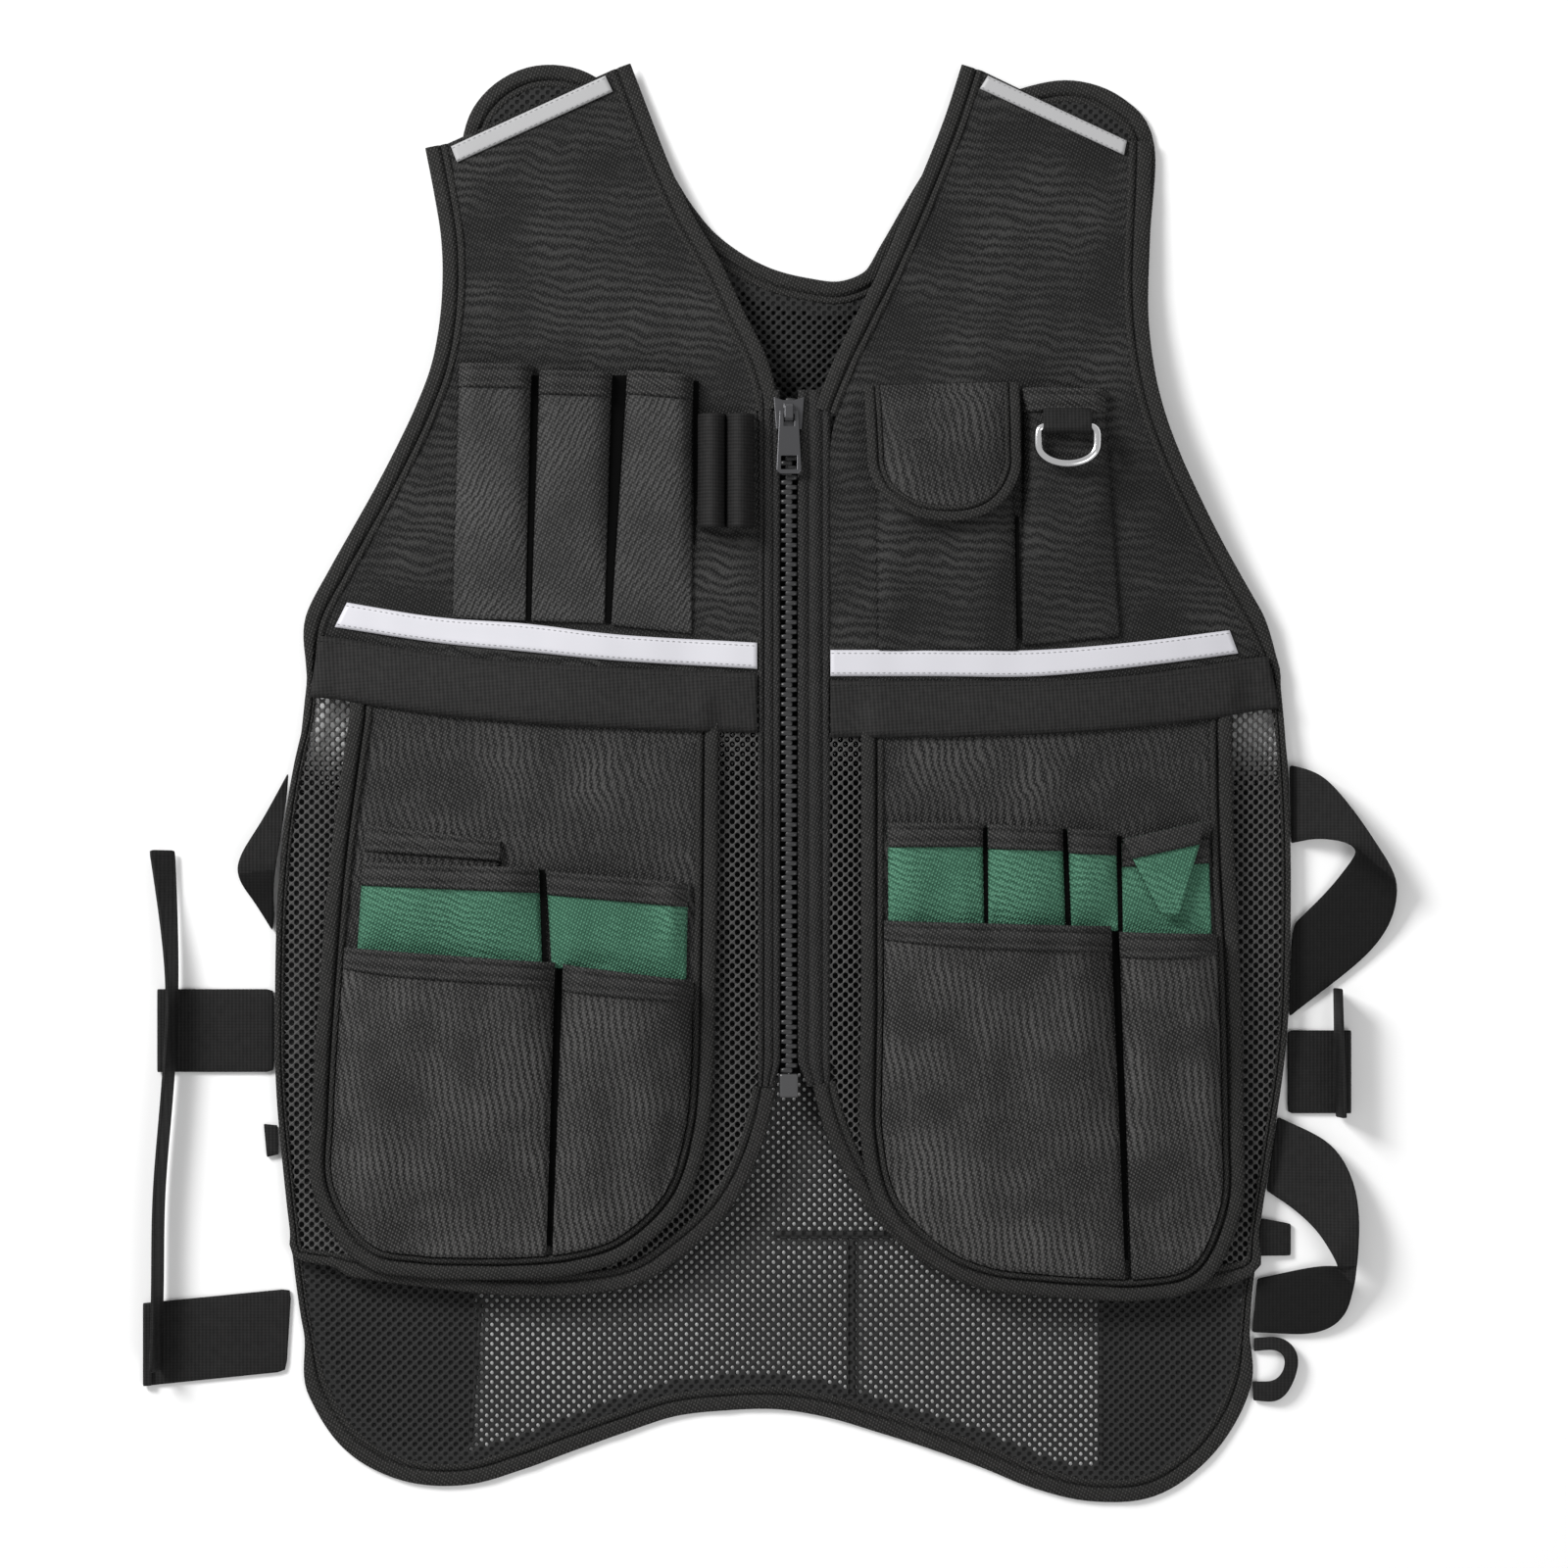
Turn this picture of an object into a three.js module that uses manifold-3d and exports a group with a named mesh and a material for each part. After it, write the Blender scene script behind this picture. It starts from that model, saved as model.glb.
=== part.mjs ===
// Utility work vest, laid flat on its back with the zip closed.
// Millimetres, +Z up, +Y towards the shoulders, +X to the right seen from above.
// The origin is on the flat underside of the back panel, on the zip's line.
import * as THREE from 'three';
import { mergeVertices } from 'three/addons/utils/BufferGeometryUtils.js';
import Module from 'manifold-3d';

const wasm = await Module();
wasm.setup();

// Driving sizes
const VEST_LENGTH = 664;
const VEST_HALF_WIDTH = 234;
const NET_THICKNESS = 1.2;
const TWILL_THICKNESS = 1.2;
const REFLECTOR_THICKNESS = 1.0;
const WEBBING_THICKNESS = 1.6;
const BINDING_WIDTH = 10;
const SIDE_BINDING_WIDTH = 4;
const BINDING_HEIGHT = 2.6;
const CLEARANCE = 0.4;
const HOLLOW_HEIGHT = 15;
const HEM_DEPTH = 9;
const HEM_EXTRA = 0.8;
const STRAP_WIDTH = 38;

// Layers of a front, counted up from its underside
const ON_CLOTH = TWILL_THICKNESS + CLEARANCE;
const PANEL_LIFT = BINDING_HEIGHT + CLEARANCE;
const FIRST_POCKET_LIFT = PANEL_LIFT + TWILL_THICKNESS + CLEARANCE;
const SECOND_POCKET_LIFT = FIRST_POCKET_LIFT + TWILL_THICKNESS + CLEARANCE;
const PANEL_BINDING_HEIGHT = 5.0;
const FRONT_BASE = BINDING_HEIGHT + CLEARANCE;

// Pocket depths, the most that a wall stands off what it is sewn to
const PEN_POCKET_DEPTH = 8;
const PHONE_POCKET_DEPTH = 8;
const PENCIL_POCKET_DEPTH = 7;
const SPARE_POCKET_DEPTH = 1.6;
const GREEN_POCKET_DEPTH = 7;
const CARGO_POCKET_DEPTH = 12;
const FLAP_RISE = PHONE_POCKET_DEPTH + TWILL_THICKNESS + HEM_EXTRA + CLEARANCE * 1.5;

// Hard pieces
const TOOTH_PITCH = 4.4;
const TOOTH_REACH = 1.5;
const CHAIN_HALF_WIDTH = 3.7;
const TOOTH_HEIGHT = 2.6;
const CHAIN_DROP = 0.7;
const TOOTH_SIDE_GAP = 0.4;
const SLIDER_WIDTH = 14;
const SLIDER_LENGTH = 15;
const SLIDER_PLATE = 1.6;
const BRIDGE_WIDTH = 4;
const BRIDGE_WALL = 1.4;
const BRIDGE_HOLE_LENGTH = 5.2;
const BRIDGE_HOLE_HEIGHT = 2.8;
const PULL_LENGTH = 29;
const PULL_TOP_WIDTH = 8.6;
const PULL_TIP_WIDTH = 11.4;
const PULL_THICKNESS = 1.6;
const PULL_WINDOW_LENGTH = 5.4;
const PULL_HOLE_WIDTH = 7.2;
const PULL_HOLE_LENGTH = 6.2;
const ZIP_BOX_WIDTH = 8.4;
const ZIP_BOX_LENGTH = 10.8;
const ZIP_BOX_HEIGHT = 3.4;
const RING_WIRE = 3.2;
const RING_WIDTH = 30;
const RING_LENGTH = 20;
const RING_CORNER = 2.2;
const TAB_WIDTH = 22;
const TAB_LENGTH = 12;
const LOOP_HEIGHT = 11;

// Finishes
function finish(color, roughness, metalness = 0) {
  return () => new THREE.MeshStandardMaterial({ color, roughness, metalness });
}
const TWILL = finish(0x37363a, 0.9);
const NET = finish(0x2a2a2c, 0.9);
const BINDING = finish(0x2f2e30, 0.85);
const WEBBING = finish(0x2b2a2c, 0.8);
const REFLECTIVE = finish(0xdcdbe2, 0.45);
const GREEN = finish(0x4a8a6c, 0.85);
const ZIP_PLASTIC = finish(0x1c1c1e, 0.5);
const GUNMETAL = finish(0x4c4c50, 0.35, 0.9);
const CHROME = finish(0xd8d8dc, 0.15, 1);

const vest = new THREE.Group();

function place(name, geometry, material) {
  const mesh = new THREE.Mesh(geometry, material());
  mesh.name = name;
  vest.add(mesh);
  return mesh;
}

// A table holds shares: across in half widths from the zip, up in lengths from the lowest hem.
function spots(names, rows) {
  const acrossColumn = names.indexOf('across');
  const upColumn = names.indexOf('up');
  return rows.map((row) => spot(row[acrossColumn], row[upColumn]));
}

function spot(across, up) {
  return new THREE.Vector3(across * VEST_HALF_WIDTH, (up - 0.5) * VEST_LENGTH, 0);
}

function moved(points, dx, dy) {
  return points.map((point) => new THREE.Vector3(point.x + dx, point.y + dy, point.z));
}

function smooth(share) {
  const t = Math.min(Math.max(share, 0), 1);
  return t * t * (3 - 2 * t);
}

// How far the underside of the fronts stands over the floor: the hollow is highest in the middle,
// low at the side edges, and closes on the back's shoulders.
function underside(x, y) {
  const across = Math.min(Math.abs(x) / VEST_HALF_WIDTH, 1);
  const up = y / VEST_LENGTH + 0.5;
  const dome = 1 - across ** 3;
  const fromHem = 0.55 + 0.45 * smooth((up - 0.15) / 0.3);
  const toShoulder = 1 - smooth((up - 0.68) / 0.3);
  return FRONT_BASE + HOLLOW_HEIGHT * dome * fromHem * toShoulder;
}

function onFloor() {
  return 0;
}

// Curves between boundary points, evenly spaced by length
function sampled(points, steps) {
  if (points.length === 2) {
    return Array.from({ length: steps + 1 }, (_, i) => points[0].clone().lerp(points[1], i / steps));
  }
  const curve = new THREE.CatmullRomCurve3(points, false, 'centripetal');
  return curve.getSpacedPoints(steps);
}

// A patch is a four-sided piece of cloth seen from above, filled in between its edges.
function patchGrid(patch, columns, rows) {
  const bottom = sampled(patch.bottom, columns);
  const top = sampled(patch.top, columns);
  const left = sampled(patch.left, rows);
  const right = sampled(patch.right, rows);
  const grid = [];
  for (let j = 0; j <= rows; j++) {
    const v = j / rows;
    const line = [];
    for (let i = 0; i <= columns; i++) {
      const u = i / columns;
      const point = new THREE.Vector3();
      point.addScaledVector(bottom[i], 1 - v).addScaledVector(top[i], v);
      point.addScaledVector(left[j], 1 - u).addScaledVector(right[j], u);
      point.addScaledVector(bottom[0], -(1 - u) * (1 - v)).addScaledVector(bottom[columns], -u * (1 - v));
      point.addScaledVector(top[0], -(1 - u) * v).addScaledVector(top[columns], -u * v);
      line.push(point);
    }
    grid.push(line);
  }
  return grid;
}

function solidOf(positions, triangles) {
  let volume = 0;
  const corner = triangles.map((index) => positions[index]);
  for (let i = 0; i < corner.length; i += 3) {
    volume += corner[i].dot(corner[i + 1].clone().cross(corner[i + 2]));
  }
  const order = volume > 0 ? triangles : triangles.slice().reverse();
  const geometry = new THREE.BufferGeometry();
  const flat = positions.flatMap((point) => [point.x, point.y, point.z]);
  geometry.setAttribute('position', new THREE.Float32BufferAttribute(flat, 3));
  geometry.setIndex(order);
  geometry.computeVertexNormals();
  return geometry;
}

// A sheet closed by its rim: one grid of points above another
function sheetSolid(upper, lower) {
  const rows = upper.length - 1;
  const columns = upper[0].length - 1;
  const width = columns + 1;
  const count = width * (rows + 1);
  const positions = [...upper.flat(), ...lower.flat()];
  const triangles = [];
  const quad = (a, b, c, d) => triangles.push(a, b, c, a, c, d);
  for (let j = 0; j < rows; j++) {
    for (let i = 0; i < columns; i++) {
      const at = j * width + i;
      quad(at, at + 1, at + width + 1, at + width);
      quad(count + at, count + at + width, count + at + width + 1, count + at + 1);
    }
  }
  for (let i = 0; i < columns; i++) {
    const far = rows * width + i;
    quad(i, count + i, count + i + 1, i + 1);
    quad(far, far + 1, count + far + 1, count + far);
  }
  for (let j = 0; j < rows; j++) {
    const near = j * width;
    const far = near + columns;
    quad(near, near + width, count + near + width, count + near);
    quad(far, count + far, count + far + width, far + width);
  }
  return solidOf(positions, triangles);
}

// A solid run through sections that have the same number of corners
function loftSolid(sections, closed = false) {
  const corners = sections[0].length;
  const positions = sections.flat();
  const triangles = [];
  const spans = closed ? sections.length : sections.length - 1;
  for (let j = 0; j < spans; j++) {
    const here = j * corners;
    const next = ((j + 1) % sections.length) * corners;
    for (let i = 0; i < corners; i++) {
      const after = (i + 1) % corners;
      triangles.push(here + i, here + after, next + after, here + i, next + after, next + i);
    }
  }
  if (!closed) {
    const last = (sections.length - 1) * corners;
    for (let i = 1; i < corners - 1; i++) {
      triangles.push(0, i + 1, i, last, last + i, last + i + 1);
    }
  }
  return solidOf(positions, triangles);
}

// A piece of cloth over the hollow: lift is its height over the fronts' underside.
function cloth({ name, patch, columns, rows, ground = underside, lift, thickness, material }) {
  const grid = patchGrid(patch, columns, rows);
  const level = (extra) => grid.map((line, j) => line.map((point, i) => {
    const u = i / columns;
    const v = j / rows;
    const thick = extra ? thickness(u, v) : 0;
    return new THREE.Vector3(point.x, point.y, ground(point.x, point.y) + lift(u, v) + thick);
  }));
  place(name, sheetSolid(level(true), level(false)), material);
  return grid;
}

const even = (value) => () => value;

// Folded tape along a cloth's edge, crowned in its middle. side is 1 to the left of the path.
function edgeTape(tape) {
  const { name, path, widths, side, closed = false, ground = underside, lift, height, material } = tape;
  const count = path.length;
  const sections = path.map((point, i) => {
    const before = closed ? path[(i + count - 1) % count] : path[Math.max(i - 1, 0)];
    const after = closed ? path[(i + 1) % count] : path[Math.min(i + 1, count - 1)];
    const into = point.clone().sub(before).normalize();
    const out = after.clone().sub(point).normalize();
    if (into.lengthSq() === 0) into.copy(out);
    if (out.lengthSq() === 0) out.copy(into);
    const along = into.clone().add(out).normalize();
    const stretch = 1 / Math.max(along.dot(into), 0.7);
    const outward = new THREE.Vector3(-along.y, along.x, 0).multiplyScalar(side * stretch);
    const base = ground(point.x, point.y) + lift;
    const corner = (reach, rise) => {
      const spotHere = point.clone().addScaledVector(outward, CLEARANCE + reach * widths[i]);
      spotHere.z = base + rise * height;
      return spotHere;
    };
    return [corner(0, 0), corner(1, 0), corner(1, 0.6), corner(0.5, 1), corner(0, 0.6)];
  });
  place(name, loftSolid(sections, closed), material);
}

// A flat strip between two edges given row by row, as thick as the strip
function ribbon({ name, edgeA, edgeB, steps = 0, thickness, material }) {
  const a = steps ? sampled(edgeA, steps) : edgeA;
  const b = steps ? sampled(edgeB, steps) : edgeB;
  const last = a.length - 1;
  const sections = a.map((pointA, i) => {
    const before = Math.max(i - 1, 0);
    const after = Math.min(i + 1, last);
    const middleBefore = a[before].clone().add(b[before]);
    const middleAfter = a[after].clone().add(b[after]);
    const along = middleAfter.sub(middleBefore).normalize();
    const across = b[i].clone().sub(pointA).normalize();
    const normal = across.cross(along).normalize().multiplyScalar(thickness / 2);
    return [
      pointA.clone().add(normal),
      b[i].clone().add(normal),
      b[i].clone().sub(normal),
      pointA.clone().sub(normal),
    ];
  });
  place(name, loftSolid(sections), material);
}

// Back panel, flat on the floor, with rounded shoulders and a low neckline
const BACK_COLUMNS = 22;
const BACK_ROWS = 13;
const backPatch = {
  bottom: spots(['across', 'up'], [
    [-0.948, 0.151], [-0.929, 0.112], [-0.898, 0.077], [-0.84, 0.047], [-0.769, 0.032], [-0.679, 0.026],
    [-0.596, 0.03], [-0.49, 0.043], [-0.356, 0.06], [-0.221, 0.075], [-0.083, 0.079], [0.029, 0.078],
    [0.117, 0.07], [0.231, 0.058], [0.365, 0.042], [0.494, 0.024], [0.587, 0.016], [0.663, 0.016],
    [0.731, 0.022], [0.788, 0.039], [0.837, 0.062], [0.867, 0.087], [0.883, 0.119], [0.89, 0.144],
  ]),
  top: spots(['across', 'up'], [
    [-0.598, 0.936], [-0.581, 0.955], [-0.542, 0.97], [-0.49, 0.977], [-0.433, 0.976], [-0.383, 0.967],
    [-0.34, 0.95], [-0.294, 0.926], [-0.256, 0.904], [-0.202, 0.875], [-0.135, 0.854], [-0.067, 0.84],
    [0.019, 0.831], [0.106, 0.828], [0.173, 0.837], [0.237, 0.872], [0.294, 0.906], [0.356, 0.936],
    [0.41, 0.953], [0.471, 0.962], [0.538, 0.967], [0.596, 0.963], [0.644, 0.953], [0.673, 0.935],
  ]),
  left: spots(['across', 'up'], [
    [-0.948, 0.151], [-0.971, 0.225], [-0.987, 0.293], [-0.988, 0.36], [-0.981, 0.428], [-0.958, 0.496],
    [-0.929, 0.543], [-0.906, 0.601], [-0.86, 0.633], [-0.731, 0.718], [-0.654, 0.78], [-0.621, 0.841],
    [-0.606, 0.892], [-0.598, 0.936],
  ]),
  right: spots(['across', 'up'], [
    [0.89, 0.144], [0.91, 0.205], [0.933, 0.259], [0.956, 0.32], [0.963, 0.388], [0.963, 0.462],
    [0.956, 0.523], [0.933, 0.57], [0.883, 0.61], [0.817, 0.65], [0.712, 0.73], [0.673, 0.78],
    [0.66, 0.828], [0.663, 0.869], [0.677, 0.909], [0.673, 0.935],
  ]),
};
const backGrid = cloth({
  name: 'back_panel', patch: backPatch, columns: BACK_COLUMNS, rows: BACK_ROWS, ground: onFloor,
  lift: even(0), thickness: even(NET_THICKNESS), material: NET,
});

// Tape is narrow where it rolls under at the sides and wide everywhere else. Shares of the length.
const SIDE_TOP = 0.56;
const BACK_SIDE_FOOT = 0.08;
const FRONT_SIDE_FOOT = 0.15;
function tapeWidth(point, sideFoot) {
  const up = point.y / VEST_LENGTH + 0.5;
  const nearSide = smooth((up - sideFoot) / 0.04) * (1 - smooth((up - SIDE_TOP) / 0.05));
  const outer = smooth((Math.abs(point.x) / VEST_HALF_WIDTH - 0.85) / 0.04);
  return BINDING_WIDTH + (SIDE_BINDING_WIDTH - BINDING_WIDTH) * nearSide * outer;
}

const backLoop = [
  ...backGrid[0],
  ...backGrid.slice(1, -1).map((line) => line[BACK_COLUMNS]),
  ...backGrid[BACK_ROWS].slice().reverse(),
  ...backGrid.slice(1, -1).map((line) => line[0]).reverse(),
];
edgeTape({
  name: 'back_binding', path: backLoop, widths: backLoop.map((point) => tapeWidth(point, BACK_SIDE_FOOT)),
  side: -1, closed: true, ground: onFloor, lift: 0, height: BINDING_HEIGHT, material: BINDING,
});

// The two fronts: a twill yoke over a net, joined under the waist band
const SEAM_GAP = 0.4;
const ZIP_TOP_UP = 0.762;
const ZIP_END_UP = 0.297;
const fronts = [
  {
    side: 'left',
    seam: spots(['across', 'up'], [[-0.921, 0.575], [-0.5, 0.564], [-0.06, 0.552]]),
    netOuter: spots(['across', 'up'], [
      [-0.954, 0.176], [-0.971, 0.225], [-0.987, 0.293], [-0.988, 0.36], [-0.981, 0.428], [-0.958, 0.496],
      [-0.929, 0.543], [-0.921, 0.575],
    ]),
    netInner: spots(['across', 'up'], [
      [-0.317, 0.165], [-0.221, 0.187], [-0.135, 0.22], [-0.083, 0.266], [-0.063, 0.306], [-0.06, 0.42],
      [-0.06, 0.552],
    ]),
    hem: spots(['across', 'up'], [
      [-0.954, 0.176], [-0.779, 0.168], [-0.587, 0.16], [-0.433, 0.159], [-0.317, 0.165],
    ]),
    armhole: spots(['across', 'up'], [
      [-0.921, 0.575], [-0.906, 0.604], [-0.865, 0.633], [-0.731, 0.718], [-0.654, 0.783], [-0.633, 0.845],
      [-0.638, 0.878], [-0.669, 0.938],
    ]),
    neck: spots(['across', 'up'], [
      [-0.06, 0.552], [-0.06, 0.65], [-0.06, 0.74], [-0.071, 0.771], [-0.11, 0.801], [-0.169, 0.846],
      [-0.223, 0.878], [-0.265, 0.909], [-0.31, 0.949], [-0.352, 0.988],
    ]),
    shoulder: spots(['across', 'up'], [[-0.669, 0.938], [-0.352, 0.988]]),
    shoulderReflector: {
      bottom: spots(['across', 'up'], [[-0.65, 0.925], [-0.345, 0.974]]),
      top: spots(['across', 'up'], [[-0.662, 0.936], [-0.36, 0.985]]),
    },
    chestReflector: {
      bottom: spots(['across', 'up'], [
        [-0.888, 0.604], [-0.683, 0.593], [-0.515, 0.587], [-0.346, 0.581], [-0.062, 0.575],
      ]),
      top: spots(['across', 'up'], [
        [-0.864, 0.621], [-0.692, 0.611], [-0.508, 0.606], [-0.346, 0.599], [-0.062, 0.593],
      ]),
    },
    waistWebbing: {
      bottom: spots(['across', 'up'], [[-0.92, 0.556], [-0.677, 0.543], [-0.394, 0.535], [-0.062, 0.531]]),
      top: spots(['across', 'up'], [[-0.9, 0.598], [-0.677, 0.585], [-0.394, 0.577], [-0.062, 0.572]]),
    },
    pocketPanel: {
      left: spots(['across', 'up'], [
        [-0.82, 0.18], [-0.885, 0.214], [-0.89, 0.248], [-0.873, 0.36], [-0.848, 0.455], [-0.812, 0.546],
      ]),
      right: spots(['across', 'up'], [
        [-0.33, 0.185], [-0.244, 0.214], [-0.202, 0.259], [-0.187, 0.36], [-0.181, 0.526],
      ]),
      bottom: spots(['across', 'up'], [[-0.82, 0.18], [-0.754, 0.173], [-0.437, 0.173], [-0.33, 0.185]]),
      top: spots(['across', 'up'], [[-0.812, 0.546], [-0.5, 0.533], [-0.181, 0.526]]),
    },
  },
  {
    side: 'right',
    seam: spots(['across', 'up'], [[0.079, 0.549], [0.5, 0.551], [0.942, 0.572]]),
    netOuter: spots(['across', 'up'], [
      [0.894, 0.167], [0.91, 0.205], [0.933, 0.259], [0.956, 0.32], [0.963, 0.388], [0.963, 0.462],
      [0.952, 0.533], [0.942, 0.572],
    ]),
    netInner: spots(['across', 'up'], [
      [0.413, 0.161], [0.308, 0.175], [0.221, 0.199], [0.144, 0.238], [0.098, 0.279], [0.083, 0.32],
      [0.079, 0.42], [0.079, 0.549],
    ]),
    hem: spots(['across', 'up'], [[0.413, 0.161], [0.587, 0.158], [0.74, 0.16], [0.894, 0.167]]),
    armhole: spots(['across', 'up'], [
      [0.942, 0.572], [0.883, 0.61], [0.817, 0.65], [0.706, 0.733], [0.667, 0.787], [0.656, 0.841],
      [0.663, 0.902], [0.667, 0.94],
    ]),
    neck: spots(['across', 'up'], [
      [0.079, 0.549], [0.079, 0.64], [0.079, 0.71], [0.084, 0.737], [0.102, 0.759], [0.144, 0.793],
      [0.212, 0.84], [0.288, 0.899], [0.346, 0.95], [0.381, 0.988],
    ]),
    shoulder: spots(['across', 'up'], [[0.381, 0.988], [0.667, 0.94]]),
    shoulderReflector: {
      bottom: spots(['across', 'up'], [[0.374, 0.976], [0.656, 0.93]]),
      top: spots(['across', 'up'], [[0.39, 0.985], [0.662, 0.94]]),
    },
    chestReflector: {
      bottom: spots(['across', 'up'], [
        [0.081, 0.57], [0.288, 0.57], [0.481, 0.57], [0.687, 0.577], [0.879, 0.586],
      ]),
      top: spots(['across', 'up'], [
        [0.081, 0.588], [0.288, 0.588], [0.481, 0.588], [0.687, 0.594], [0.862, 0.602],
      ]),
    },
    waistWebbing: {
      bottom: spots(['across', 'up'], [
        [0.081, 0.528], [0.321, 0.528], [0.587, 0.532], [0.785, 0.539], [0.944, 0.548],
      ]),
      top: spots(['across', 'up'], [
        [0.081, 0.567], [0.321, 0.567], [0.587, 0.568], [0.785, 0.576], [0.92, 0.584],
      ]),
    },
    pocketPanel: {
      left: spots(['across', 'up'], [
        [0.3, 0.178], [0.213, 0.211], [0.188, 0.239], [0.185, 0.36], [0.185, 0.523],
      ]),
      right: spots(['across', 'up'], [
        [0.79, 0.165], [0.835, 0.19], [0.844, 0.215], [0.838, 0.36], [0.825, 0.455], [0.821, 0.532],
      ]),
      bottom: spots(['across', 'up'], [[0.3, 0.178], [0.363, 0.166], [0.742, 0.157], [0.79, 0.165]]),
      top: spots(['across', 'up'], [[0.185, 0.523], [0.5, 0.525], [0.821, 0.532]]),
    },
  },
];

const YOKE_ROWS = 12;
const NET_ROWS = 12;
const FRONT_COLUMNS = 5;
const PANEL_ROWS = 8;
const PANEL_COLUMNS = 5;

function between(bottom, top) {
  return {
    bottom,
    top,
    left: [bottom[0], top[0]],
    right: [bottom[bottom.length - 1], top[top.length - 1]],
  };
}

function endMoved(points, last, dx, dy) {
  const index = last ? points.length - 1 : 0;
  return points.map((point, i) => (i === index ? moved([point], dx, dy)[0] : point));
}

for (const front of fronts) {
  const isLeft = front.side === 'left';
  const outerColumn = isLeft ? 0 : FRONT_COLUMNS;
  const innerColumn = FRONT_COLUMNS - outerColumn;
  const netOuter = endMoved(front.netOuter, true, 0, -SEAM_GAP);
  const netInner = endMoved(front.netInner, true, 0, -SEAM_GAP);
  const netPatch = {
    bottom: front.hem,
    top: moved(front.seam, 0, -SEAM_GAP),
    left: isLeft ? netOuter : netInner,
    right: isLeft ? netInner : netOuter,
  };
  const netGrid = cloth({
    name: `front_net_${front.side}`, patch: netPatch, columns: FRONT_COLUMNS, rows: NET_ROWS,
    lift: even(0), thickness: even(NET_THICKNESS), material: NET,
  });
  const yokePatch = {
    bottom: front.seam,
    top: front.shoulder,
    left: isLeft ? front.armhole : front.neck,
    right: isLeft ? front.neck : front.armhole,
  };
  const yokeGrid = cloth({
    name: `front_yoke_${front.side}`, patch: yokePatch, columns: FRONT_COLUMNS, rows: YOKE_ROWS,
    lift: even(0), thickness: even(TWILL_THICKNESS), material: TWILL,
  });

  const zipEnd = spot(0, ZIP_END_UP).y - BINDING_WIDTH / 2;
  const corner = netGrid.map((line) => line[innerColumn]).filter((point) => point.y < zipEnd).reverse();
  const hemLine = netGrid[0].slice(1, -1);
  const outerPath = [
    ...corner,
    ...(isLeft ? hemLine.reverse() : hemLine),
    ...netGrid.map((line) => line[outerColumn]),
    ...yokeGrid.slice(1).map((line) => line[outerColumn]),
  ];
  edgeTape({
    name: `front_binding_${front.side}`, path: outerPath, side: isLeft ? 1 : -1,
    widths: outerPath.map((point) => tapeWidth(point, FRONT_SIDE_FOOT)),
    lift: 0, height: BINDING_HEIGHT, material: BINDING,
  });

  const neckStart = spot(0, ZIP_TOP_UP).y;
  const neckPath = yokeGrid.map((line) => line[innerColumn]).filter((point) => point.y > neckStart);
  edgeTape({
    name: `neck_binding_${front.side}`, path: neckPath, widths: neckPath.map(() => BINDING_WIDTH),
    side: isLeft ? -1 : 1, lift: 0, height: BINDING_HEIGHT, material: BINDING,
  });

  cloth({
    name: `shoulder_reflector_${front.side}`,
    patch: between(front.shoulderReflector.bottom, front.shoulderReflector.top), columns: 5, rows: 1,
    lift: even(ON_CLOTH), thickness: even(REFLECTOR_THICKNESS), material: REFLECTIVE,
  });
  cloth({
    name: `chest_reflector_${front.side}`,
    patch: between(front.chestReflector.bottom, front.chestReflector.top), columns: 12, rows: 1,
    lift: even(ON_CLOTH), thickness: even(REFLECTOR_THICKNESS), material: REFLECTIVE,
  });
  cloth({
    name: `waist_webbing_${front.side}`,
    patch: between(front.waistWebbing.bottom, front.waistWebbing.top), columns: 12, rows: 1,
    lift: even(ON_CLOTH), thickness: even(WEBBING_THICKNESS), material: WEBBING,
  });

  const panelGrid = cloth({
    name: `pocket_panel_${front.side}`, patch: front.pocketPanel, columns: PANEL_COLUMNS, rows: PANEL_ROWS,
    lift: even(PANEL_LIFT), thickness: even(TWILL_THICKNESS), material: TWILL,
  });
  const panelPath = [
    ...panelGrid.map((line) => line[0]).reverse(),
    ...panelGrid[0].slice(1, -1),
    ...panelGrid.map((line) => line[PANEL_COLUMNS]),
  ];
  edgeTape({
    name: `pocket_panel_binding_${front.side}`, path: panelPath, widths: panelPath.map(() => BINDING_WIDTH),
    side: -1, lift: PANEL_LIFT, height: PANEL_BINDING_HEIGHT, material: BINDING,
  });
}

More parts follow.
